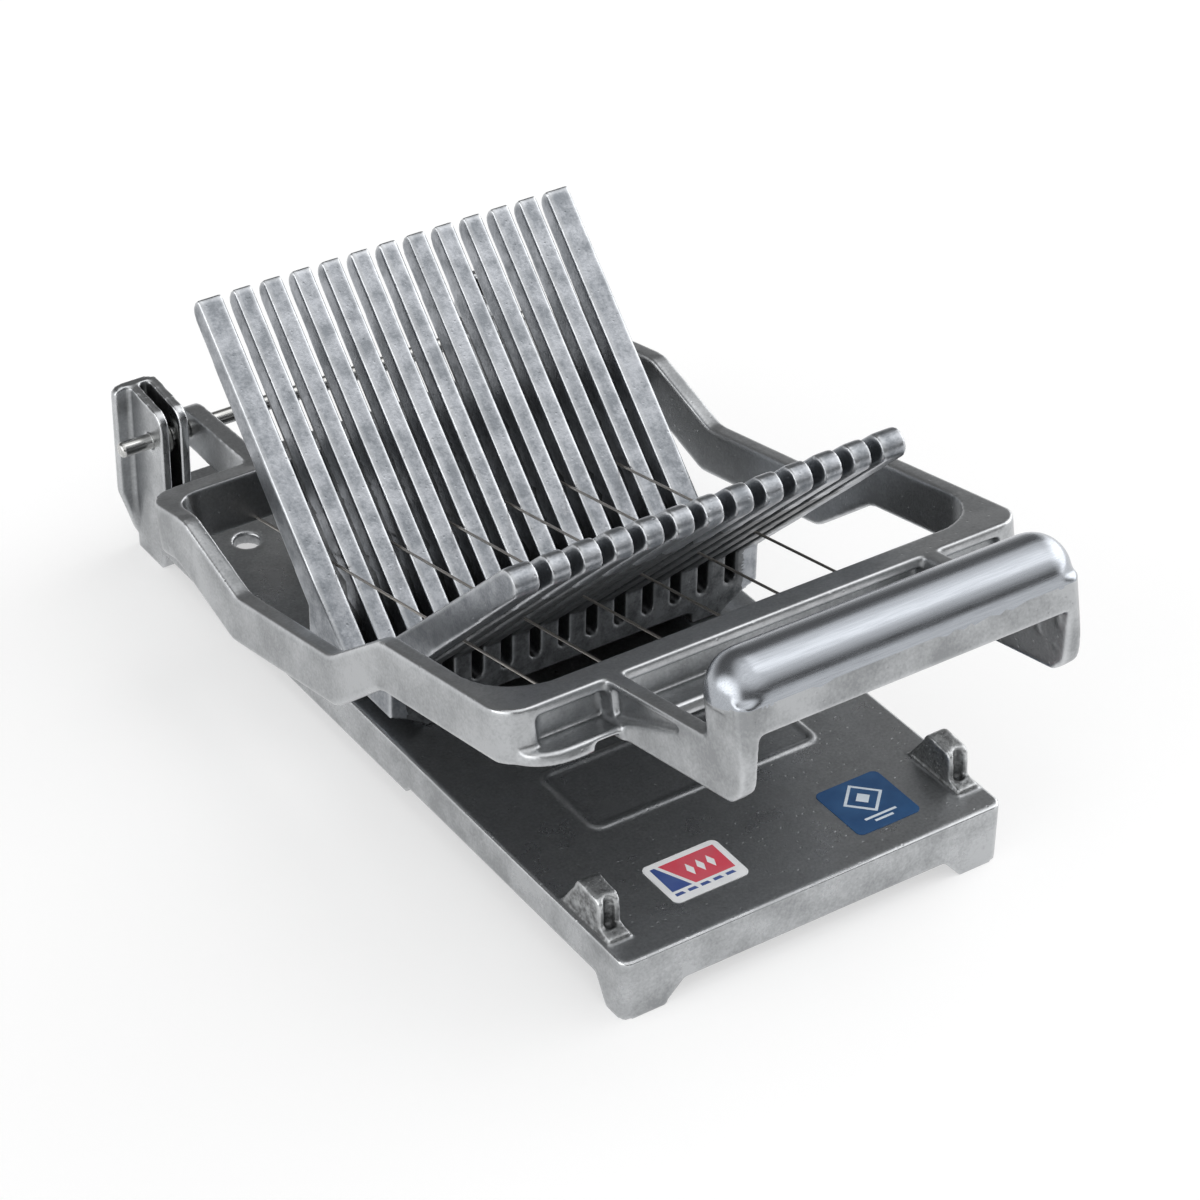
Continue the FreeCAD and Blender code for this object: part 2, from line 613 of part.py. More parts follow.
def make_cradle(doc, s):
    """Cradle casting: two combs at right angles on one riser block, cut by the wire slots."""
    body = new_body(doc, "cradle_casting")
    plate = s.base_height
    half = s.half_width
    floor = plate + s.vee_rise
    lean = cosine(s.comb_angle)
    lift = sine(s.comb_angle)

    def comb_point(side_sign, along, depth):
        """Point on a comb: along its food side from the V, and this deep behind it."""
        y = s.vee_back + side_sign * (along * lean + depth * lift)
        return y, floor + along * lift - depth * lean

    def root_height():
        """Height at which a comb's back meets the riser block's upright face."""
        out = s.riser_half_depth - s.comb_root * lift
        return floor - s.comb_root * lean + out * tangent(s.comb_angle)

    rear_y = s.vee_back + s.riser_half_depth
    front_y = s.vee_back - s.riser_half_depth
    side = outline(body, "cradle_side", "YZ_Plane", [
        (front_y, plate),
        (rear_y, plate),
        (rear_y, root_height()),
        (*comb_point(1, s.comb_rear_length, s.comb_rear_tip), s.comb_rear_round),
        (*comb_point(1, s.comb_rear_length, 0), s.comb_food_round),
        (s.vee_back, floor),
        (*comb_point(-1, s.comb_front_length, 0), s.comb_front_round),
        (*comb_point(-1, s.comb_front_length, s.comb_front_tip), s.comb_front_round),
        (front_y, root_height()),
    ])
    extrude(body, "Pad", "cradle_block", side, s.base_width, symmetric=True)

    under = [
        (s.pad_outside, plate - OVERCUT),
        (half + OVERCUT, plate - OVERCUT),
        (half + OVERCUT, plate + s.under_high),
        (half, plate + s.under_high),
        (half - s.under_low_in, plate + s.under_low),
        (s.pad_outside + s.pad_chamfer, plate + s.pad_chamfer_rise),
        (s.pad_outside, plate),
    ]
    depth = 2 * (s.riser_half_depth + OVERCUT)
    for name, sign in (("right", 1), ("left", -1)):
        corners = [(sign * x, z) for x, z in under]
        face = outline(body, f"under_{name}_face", "XZ_Plane", corners, lift=-s.vee_back)
        extrude(body, "Pocket", f"under_{name}", face, depth, symmetric=True)
    arch = outline(body, "arch_face", "XZ_Plane", [
        (-s.pad_inside, plate - OVERCUT),
        (s.pad_inside, plate - OVERCUT),
        (s.pad_inside, plate + s.arch_rise, s.arch_round),
        (-s.pad_inside, plate + s.arch_rise, s.arch_round),
    ], lift=-s.vee_back)
    extrude(body, "Pocket", "arch", arch, depth, symmetric=True)

    holes = new_sketch(body, "tapped_plan", "XY_Plane", plate)
    for side_sign in (-1, 1):
        for row_sign in (-1, 1):
            along = s.vee_back + row_sign * s.screw_along / 2
            radius = s.screw_radius + s.tapped_clearance
            add_circle(holes, side_sign * s.screw_aside, along, radius)
    extrude(body, "Pocket", "tapped", holes, s.screw_bite + s.screw_end_gap, backwards=True)

    first = -s.slot_pitch * (s.slot_count - 1) / 2
    near = first - s.slot_width / 2
    far = first + s.slot_width / 2
    low = plate + s.slot_floor
    top = floor + (s.comb_front_length + s.comb_rear_length) * lift
    cut_face = outline(body, "slot_face", "XZ_Plane", [
        (near, low, s.slot_width * NEAR_HALF),
        (far, low, s.slot_width * NEAR_HALF),
        (far, top),
        (near, top),
    ], lift=-s.vee_back)
    reach = 2 * (s.comb_front_length + s.comb_rear_length)
    cut = extrude(body, "Pocket", "slot", cut_face, reach, symmetric=True)
    repeat(body, "slots", [cut], "X_Axis", s.slot_pitch * (s.slot_count - 1), s.slot_count)
    place_on_base(body, s)
    return body


def make_arm(doc, s):
    """Arm casting: stepped frame with front bar, handle, hinge lugs and wire pockets."""
    body = new_body(doc, "arm_casting")
    half = s.arm_width / 2
    drop = s.wire_drop
    low = -drop - s.arm_below
    high = low + s.arm_height

    dip_low = s.dip_start + s.dip_slope
    dip_end = dip_low + s.dip_flat
    back_up = dip_end + s.dip_rise
    lead = s.dip_lead
    side = outline(body, "arm_side", "YZ_Plane", [
        (-s.bar_front, low),
        (-(back_up - s.dip_lag), low, s.dip_round),
        (-dip_end, low - s.dip_depth, s.dip_round),
        (-(dip_low - lead), low - s.dip_depth, s.dip_round),
        (-(s.dip_start - lead), low, s.dip_round),
        (-s.arm_start, low),
        (-s.arm_start, high),
        (-s.dip_start, high, s.dip_round),
        (-dip_low, high - s.dip_depth, s.dip_round),
        (-dip_end, high - s.dip_depth, s.dip_round),
        (-back_up, high, s.dip_round),
        (-s.bar_front, high),
    ])
    extrude(body, "Pad", "frame_block", side, s.arm_width, symmetric=True)
    round_edges(body, "frame_corners", s.arm_corner, lambda edge: any(
        upright_at(half, y)(edge) for y in (-s.arm_start, -s.bar_front)))

    inside = half - s.arm_wall
    opening = outline(body, "opening_plan", "XY_Plane", [
        (-inside, -s.opening_end, s.opening_corner_front),
        (inside, -s.opening_end, s.opening_corner_front),
        (inside, -(s.arm_start + s.arm_rear_wall), s.opening_corner_rear),
        (-inside, -(s.arm_start + s.arm_rear_wall), s.opening_corner_rear),
    ], lift=-drop)
    tall = 2 * (drop + s.arm_height + s.dip_depth)
    extrude(body, "Pocket", "opening", opening, tall, symmetric=True)

    flange_top = low + s.flange_thick
    channel_half = half - s.channel_end
    channel = outline(body, "channel_plan", "XY_Plane", [
        (-channel_half, -(s.bar_front + OVERCUT)),
        (channel_half, -(s.bar_front + OVERCUT)),
        (channel_half, -(s.bar_front - s.bar_recess), s.channel_round),
        (-channel_half, -(s.bar_front - s.bar_recess), s.channel_round),
    ], lift=high - s.bar_ridge)
    extrude(body, "Pocket", "channel", channel, s.arm_height - s.bar_ridge - s.flange_thick)

    wide = half - s.flange_side
    plan = outline(body, "flange_plan", "XY_Plane", [
        (-wide, -s.flange_front, s.flange_corner),
        (wide, -s.flange_front, s.flange_corner),
        (wide, -(s.bar_front - s.flange_root)),
        (-wide, -(s.bar_front - s.flange_root)),
    ], lift=low)
    extrude(body, "Pad", "lower_flange", plan, s.flange_thick)

    make_handle(body, s, low, high)
    make_lugs(body, s, low, high)
    make_seats(body, s, low)
    make_wire_pockets(body, s, low)

    body.Placement = FreeCAD.Placement(
        FreeCAD.Vector(0, 0, 0), FreeCAD.Rotation(FreeCAD.Vector(1, 0, 0), -s.raised_angle.value))
    bind(body, "Placement.Rotation.Angle", -s.raised_angle)
    bind(body, "Placement.Base.y", s.hinge_back - s.origin_back)
    bind(body, "Placement.Base.z", s.axis_height)
    return body


def make_handle(body, s, low, high):
    """Two legs that carry a bar with a half-round top, domed ends and a front skirt."""
    drop = s.wire_drop
    rear = s.handle_rear
    front = s.handle_front
    crown = s.handle_rise - drop
    under = s.handle_under - drop
    skirt = s.handle_skirt_low - drop
    root = s.bar_front - s.bar_recess - s.leg_root
    leg = outline(body, "leg_side", "YZ_Plane", [
        (-root, low),
        (-root, high),
        (-rear, high, s.leg_notch_round),
        (-rear, crown),
        (-front, crown),
        (-front, skirt),
        (-(front - s.leg_toe_back), low + s.leg_toe_rise, s.leg_toe_round),
        (-(front - s.leg_heel_back), low, s.leg_heel_round),
    ], lift=s.leg_outside - s.leg_wall)
    leg_pad = extrude(body, "Pad", "leg", leg, s.leg_wall)
    rib_low = high - s.leg_rib
    recess_start = s.bar_front + s.leg_root
    recess = outline(body, "leg_recess_side", "YZ_Plane", [
        (-recess_start, rib_low),
        (-recess_start, rib_low - s.leg_recess_drop),
        (-(rear - s.leg_recess_end), rib_low),
    ], lift=s.leg_outside - s.leg_recess)
    recess_cut = extrude(body, "Pocket", "leg_recess", recess, s.leg_recess + OVERCUT,
                         backwards=True)
    cuts = [recess_cut]
    for name, chamfer, y, away, floor in (
        ("leg_rear_corner", s.leg_rear_chamfer, -rear, 1, high),
        ("leg_front_corner", s.leg_wall / 2, -front, -1, low - OVERCUT),
    ):
        corner = outline(body, f"{name}_plan", "XY_Plane", [
            (s.leg_outside + OVERCUT, y + away * OVERCUT),
            (s.leg_outside + OVERCUT, y - away * (chamfer + OVERCUT)),
            (s.leg_outside - chamfer - OVERCUT, y + away * OVERCUT),
        ], lift=floor)
        cuts.append(extrude(body, "Pocket", name, corner, crown + OVERCUT - floor,
                            backwards=True))
    mirror(body, "leg_pair", [leg_pad, *cuts])

    full = s.handle_radius * NEAR_FULL
    bar = outline(body, "handle_side", "YZ_Plane", [
        (-rear, under),
        (-rear, crown + s.handle_radius, full),
        (-front, crown + s.handle_radius, full),
        (-front, skirt),
        (-(front - s.handle_skirt_wall), skirt),
        (-(front - s.handle_skirt_wall), under, s.handle_inner_round),
    ])
    straight = 2 * (s.handle_half_width - s.handle_radius)
    extrude(body, "Pad", "handle_bar", bar, straight, symmetric=True)

    wide = s.leg_outside - s.leg_wall / 2
    skirt_face = outline(body, "skirt_face", "XZ_Plane",
                         box_corners(-wide, skirt, wide, crown), lift=front)
    extrude(body, "Pad", "handle_skirt", skirt_face, s.handle_skirt_wall, backwards=True)
    for name, sign in (("right", 1), ("left", -1)):
        dome = body.newObject("PartDesign::AdditiveSphere", f"dome_{name}")
        dome.Angle1 = 0
        collar = body.newObject("PartDesign::AdditiveCylinder", f"collar_{name}")
        bind(collar, "Height", crown - under)
        for piece, height in ((dome, crown), (collar, under)):
            bind(piece, "Radius", s.handle_radius)
            bind(piece, "Placement.Base.x", sign * (s.handle_half_width - s.handle_radius))
            bind(piece, "Placement.Base.y", -(rear + s.handle_radius))
            bind(piece, "Placement.Base.z", height)
        body.Tip = collar
        body.Document.recompute()


def make_lugs(body, s, low, high):
    """Two lugs that reach back from the frame to the hinge rod."""
    start = s.lug_outside - s.lug_wall
    eye = new_sketch(body, "lug_eye_side", "YZ_Plane", start)
    add_circle(eye, 0, 0, s.lug_radius)
    eye_pad = extrude(body, "Pad", "lug_eye", eye, s.lug_wall)
    joined = s.arm_start + s.arm_rear_wall / 2
    web = outline(body, "lug_web_side", "YZ_Plane", [
        (0, 0),
        (-s.lug_radius * sine(s.lug_lean), s.lug_radius * cosine(s.lug_lean)),
        (-joined, high),
        (-joined, low),
        (0, -s.lug_radius * NEAR_FULL),
    ], lift=start)
    web_pad = extrude(body, "Pad", "lug_web", web, s.lug_wall)
    bore = new_sketch(body, "lug_bore_side", "YZ_Plane", start - OVERCUT)
    add_circle(bore, 0, 0, s.rod_radius + s.rod_clearance)
    cut = extrude(body, "Pocket", "lug_bore", bore, s.lug_wall + 2 * OVERCUT, backwards=True)
    mirror(body, "lug_pair", [eye_pad, web_pad, cut])


def make_seats(body, s, low):
    """Pockets under the front bar that close over the base's rest posts."""
    gap = s.seat_side_clearance
    ceiling = s.post_rise - s.hinge_rise + s.seat_clearance
    rear = s.hinge_back - s.post_back - s.post_depth - s.post_tail - gap
    front = s.flange_front + OVERCUT
    inner = s.post_inside - gap
    outer = s.post_inside + s.post_width + gap
    seat = outline(body, "seat_plan", "XY_Plane",
                   box_corners(inner, -front, outer, -rear), lift=low - OVERCUT)
    cut = extrude(body, "Pocket", "seat", seat, ceiling - low + OVERCUT, backwards=True)
    mirror(body, "seat_pair", [cut])


def wire_places(s):
    """Distance of each wire from the middle: every other slot, from the leftmost one."""
    first = -s.slot_pitch * (s.slot_count - 1) / 2
    return [first + 2 * index * s.slot_pitch for index in range(int(s.wire_count.value))]


def front_pocket(s):
    """Rear end of the front ferrule pockets, from the rod."""
    return s.opening_end + s.ferrule_web


def rear_pocket(s):
    """Front end of the rear ferrule pockets, from the rod."""
    return s.arm_start + s.arm_rear_wall - s.ferrule_web


def make_wire_pockets(body, s, low):
    """Pockets open below for the ferrules, and a hole from each to the frame's opening."""
    gap = s.ferrule_clearance
    wide = s.ferrule_radius + gap
    ceiling = -s.wire_drop + s.ferrule_radius + gap
    long = s.ferrule_length + gap
    plan = new_sketch(body, "ferrule_plan", "XY_Plane", low - OVERCUT)
    for x in wire_places(s):
        near = front_pocket(s)
        far = rear_pocket(s)
        add_loop(plan, box_corners(x - wide, -(near + long), x + wide, -near))
        add_loop(plan, box_corners(x - wide, -far, x + wide, -(far - long)))
    extrude(body, "Pocket", "ferrule_pockets", plan, ceiling - low + OVERCUT, backwards=True)
    face = new_sketch(body, "wire_hole_face", "XZ_Plane", front_pocket(s) + gap)
    for x in wire_places(s):
        add_circle(face, x, -s.wire_drop, s.wire_hole_radius)
    length = front_pocket(s) - rear_pocket(s) + 2 * gap
    extrude(body, "Pocket", "wire_holes", face, length)


def place_on_arm(item, s, x, along, rise):
    """Put a cylinder on the raised arm: along it from the rod, and above the wire plane."""
    angle = s.raised_angle
    level = rise - s.wire_drop
    axis_y = s.hinge_back - s.origin_back
    item.Placement = FreeCAD.Placement(
        FreeCAD.Vector(0, 0, 0), FreeCAD.Rotation(FreeCAD.Vector(1, 0, 0), 90 - angle.value))
    bind(item, "Placement.Rotation.Angle", 90 - angle)
    bind(item, "Placement.Base.x", x)
    bind(item, "Placement.Base.y", axis_y - along * cosine(angle) + level * sine(angle))
    bind(item, "Placement.Base.z", s.axis_height + along * sine(angle) + level * cosine(angle))


def make_wires(doc, s):
    """Six wires, each with a crimped ferrule at both ends."""
    made = []
    start = rear_pocket(s) - s.ferrule_clearance / 2
    finish = front_pocket(s) + s.ferrule_clearance / 2
    for number, x in enumerate(wire_places(s), start=1):
        pieces = (
            (f"wire_{number}", s.wire_radius, start, finish - start),
            (f"wire_{number}_ferrule_rear", s.ferrule_radius, start - s.ferrule_length,
             s.ferrule_length),
            (f"wire_{number}_ferrule_front", s.ferrule_radius, finish, s.ferrule_length),
        )
        for name, radius, along, length in pieces:
            item = doc.addObject("Part::Cylinder", name)
            item.Label = name
            bind(item, "Radius", radius)
            bind(item, "Height", length)
            place_on_arm(item, s, x, along, as_size(0))
            made.append(item)
    return made


def make_rod(doc, s):
    """Plain hinge rod with rounded ends, held in both brackets."""
    body = new_body(doc, "hinge_rod")
    face = new_sketch(body, "rod_side", "YZ_Plane", 0)
    add_circle(face, s.hinge_back, s.axis_height, s.rod_radius)
    extrude(body, "Pad", "rod", face, s.rod_length, symmetric=True)
    round_edges(body, "rod_ends", s.rod_end_round, lambda edge: edge.BoundBox.XLength < 0.01)
    place_on_base(body, s)
    return body


def make_clips(doc, s):
    """Two open retaining clips on the rod, between the cheeks of the brackets."""
    made = []
    middle = s.half_width - s.cheek_wall - s.cheek_gap / 2
    for name, sign in (("right", 1), ("left", -1)):
        body = new_body(doc, f"rod_clip_{name}")
        face = new_sketch(body, f"clip_{name}_side", "YZ_Plane", sign * middle)
        add_circle(face, s.hinge_back, s.axis_height, s.clip_radius)
        add_circle(face, s.hinge_back, s.axis_height, s.rod_radius + s.clip_clearance)
        extrude(body, "Pad", f"clip_{name}_ring", face, s.clip_wall, symmetric=True)
        mouth = outline(body, f"clip_{name}_mouth_side", "YZ_Plane", box_corners(
            s.hinge_back - s.clip_mouth / 2, s.axis_height - s.clip_radius - OVERCUT,
            s.hinge_back + s.clip_mouth / 2, s.axis_height), lift=sign * middle)
        extrude(body, "Pocket", f"clip_{name}_mouth", mouth, s.clip_wall * 2, symmetric=True)
        place_on_base(body, s)
        made.append(body)
    return made


def make_screws(doc, s):
    """Four slotted screws that hold the cradle from beneath the base plate."""
    made = []
    under = s.base_height - s.plate_wall
    places = [(side, row) for row in (-1, 1) for side in (-1, 1)]
    for number, (side, row) in enumerate(places, start=1):
        body = new_body(doc, f"cradle_screw_{number}")
        x = side * s.screw_aside
        y = s.vee_back + row * s.screw_along / 2
        head = new_sketch(body, f"screw_{number}_head_plan", "XY_Plane",
                          under - s.screw_head_height)
        add_circle(head, x, y, s.screw_head_radius)
        extrude(body, "Pad", f"screw_{number}_head", head, s.screw_head_height)
        shank = new_sketch(body, f"screw_{number}_shank_plan", "XY_Plane", under)
        add_circle(shank, x, y, s.screw_radius)
        extrude(body, "Pad", f"screw_{number}_shank", shank, s.plate_wall + s.screw_bite)
        slot = outline(body, f"screw_{number}_slot_plan", "XY_Plane", box_corners(
            x - s.screw_head_radius - OVERCUT, y - s.screw_slot / 2,
            x + s.screw_head_radius + OVERCUT, y + s.screw_slot / 2),
            lift=under - s.screw_head_height)
        extrude(body, "Pocket", f"screw_{number}_slot", slot, s.screw_head_height / 2,
                backwards=True)
        place_on_base(body, s)
        made.append(body)
    return made


def make_labels(doc, s):
    """Two thin labels on the front of the plate."""
    made = []
    for name, aside, back, width, depth in (
        ("label_left", -s.label_left_aside, s.label_left_back,
         s.label_left_width, s.label_left_depth),
        ("label_right", s.label_right_aside, s.label_right_back,
         s.label_right_width, s.label_right_depth),
    ):
        body = new_body(doc, name)
        plan = outline(body, f"{name}_plan", "XY_Plane", box_corners(
            aside - width / 2, back - depth / 2, aside + width / 2, back + depth / 2,
            s.label_corner), lift=s.base_height)
        extrude(body, "Pad", f"{name}_sheet", plan, s.label_thick)
        place_on_base(body, s)
        made.append(body)
    return made


def check_document(doc, parts):
    """Stop if anything in the document failed, or a sub-part is not one valid solid."""
    for item in doc.Objects:
        if any(word in item.State for word in ("Invalid", "Error")):
            raise ValueError(f"{item.Name} failed: {item.State}")
    for part in parts:
        shape = part.Shape
        if shape.isNull() or not shape.isValid() or len(shape.Solids) != 1:
            raise ValueError(f"{part.Label} is not one valid solid")


def main():
    doc = FreeCAD.newDocument("wire_slicer")
    sizes = make_sheet(doc)
    work_out(sizes)
    parts = [
        make_base(doc, sizes),
        make_cradle(doc, sizes),
        make_rod(doc, sizes),
        *make_clips(doc, sizes),
        *make_screws(doc, sizes),
        *make_labels(doc, sizes),
        make_arm(doc, sizes),
        *make_wires(doc, sizes),
    ]
    doc.recompute()
    check_document(doc, parts)
    os.makedirs("parts", exist_ok=True)
    for part in parts:
        part.Shape.exportStep(os.path.join("parts", f"{part.Label}.step"))
        box = part.Shape.BoundBox
        print(f"{part.Label}: volume {part.Shape.Volume:.1f}, "
              f"x {box.XMin:.1f} to {box.XMax:.1f}, y {box.YMin:.1f} to {box.YMax:.1f}, "
              f"z {box.ZMin:.1f} to {box.ZMax:.1f}")


main()
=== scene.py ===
"""Countertop wire slicer: its looks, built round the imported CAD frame."""

import logging
import math
from dataclasses import dataclass
from enum import Enum
from typing import Callable, Sequence

import bmesh
import bpy
import numpy as np
from mathutils import Matrix, Vector

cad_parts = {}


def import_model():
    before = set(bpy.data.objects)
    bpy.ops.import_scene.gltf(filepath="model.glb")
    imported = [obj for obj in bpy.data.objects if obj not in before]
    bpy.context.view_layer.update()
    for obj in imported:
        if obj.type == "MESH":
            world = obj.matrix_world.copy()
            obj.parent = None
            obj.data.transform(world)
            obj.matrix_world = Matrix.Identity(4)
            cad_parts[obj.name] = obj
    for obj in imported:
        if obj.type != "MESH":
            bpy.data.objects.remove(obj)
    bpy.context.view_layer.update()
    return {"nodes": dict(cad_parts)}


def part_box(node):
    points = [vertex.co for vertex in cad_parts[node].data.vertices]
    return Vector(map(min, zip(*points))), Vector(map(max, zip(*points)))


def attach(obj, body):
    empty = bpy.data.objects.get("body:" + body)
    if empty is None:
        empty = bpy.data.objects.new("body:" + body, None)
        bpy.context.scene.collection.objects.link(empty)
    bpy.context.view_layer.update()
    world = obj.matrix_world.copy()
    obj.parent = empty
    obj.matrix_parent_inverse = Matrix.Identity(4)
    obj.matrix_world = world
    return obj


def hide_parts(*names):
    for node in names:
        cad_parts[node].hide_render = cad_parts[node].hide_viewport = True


LOG = logging.getLogger("wire_slicer")
MM = 0.001

# The relief stored on a casting: its name, and its value where the skin is flat
RELIEF = "relief"
RELIEF_FLAT = 0.5

# The sRGB transfer curve, and the full value of a pair of hex digits
SRGB_KNEE = 0.04045
SRGB_SLOPE = 12.92
SRGB_OFFSET = 0.055
SRGB_POWER = 2.4
FULL_BYTE = 255

# A quarter turn in degrees
QUARTER = 90.0

# Sockets of a Mix node that mixes colours
MIX_FIRST = 6
MIX_SECOND = 7
MIX_RESULT = 2


class Side(Enum):
    """The tool's two hands, as signs of x."""

    LEFT = -1
    RIGHT = 1


class PrintSlot(Enum):
    """Names of the record's material slots for the prints; they are passed along but not read."""

    RED = "label_print_red"
    BLUE = "label_print_blue"


def linear(value: float) -> float:
    """Turn one sRGB channel from 0 to 1 into linear light.

    Args:
        value: The channel as it is written in a colour picker.

    Returns:
        The channel in linear light.
    """
    if value <= SRGB_KNEE:
        return value / SRGB_SLOPE
    return ((value + SRGB_OFFSET) / (1 + SRGB_OFFSET)) ** SRGB_POWER


def hex_colour(text: str) -> tuple[float, float, float, float]:
    """Turn an sRGB hex colour into linear red, green, blue and alpha.

    Args:
        text: Six hex digits, such as "8c8e90".

    Returns:
        The colour as a shader socket takes it.
    """
    red, green, blue = (int(text[start:start + 2], 16) / FULL_BYTE for start in (0, 2, 4))
    return linear(red), linear(green), linear(blue), 1.0


def per_metre(size_mm: float) -> float:
    """Texture scale that gives features of a real size.

    Args:
        size_mm: The size of one feature in millimetres.

    Returns:
        The scale for a texture in object coordinates, which are metres.
    """
    return 1.0 / (size_mm * MM)


def add_node(tree: bpy.types.NodeTree, kind: str,
             settings: dict[str | int, object] | None = None,
             links: dict[str | int, bpy.types.NodeSocket] | None = None) -> bpy.types.Node:
    """Add a node with its settings and links.

    Args:
        tree: The node tree it goes into.
        kind: The node's type name.
        settings: Values for properties, or for input sockets by name or number. On a
            colour ramp, "stops" holds pairs of position and colour in rising order.
        links: Output sockets to join, by the name or number of the input socket.

    Returns:
        The new node.
    """
    node = tree.nodes.new(kind)
    for name, value in (settings or {}).items():
        if name == "stops":
            elements = node.color_ramp.elements
            elements[0].position, elements[0].color = value[0]
            elements[1].position, elements[1].color = value[-1]
            for position, colour in value[1:-1]:
                elements.new(position).color = colour
        elif isinstance(name, str) and hasattr(node, name):
            setattr(node, name, value)
        else:
            node.inputs[name].default_value = value
    for name, source in (links or {}).items():
        tree.links.new(source, node.inputs[name])
    return node


def new_finish(name: str, metallic: float) -> tuple[bpy.types.Material, bpy.types.Node]:
    """Start a finish.

    Args:
        name: The finish's name.
        metallic: 1 for bare metal, 0 for anything else.

    Returns:
        The material and its shader.
    """
    material = bpy.data.materials.new(name)
    material.use_nodes = True
    shader = material.node_tree.nodes["Principled BSDF"]
    shader.inputs["Metallic"].default_value = metallic
    return material, shader


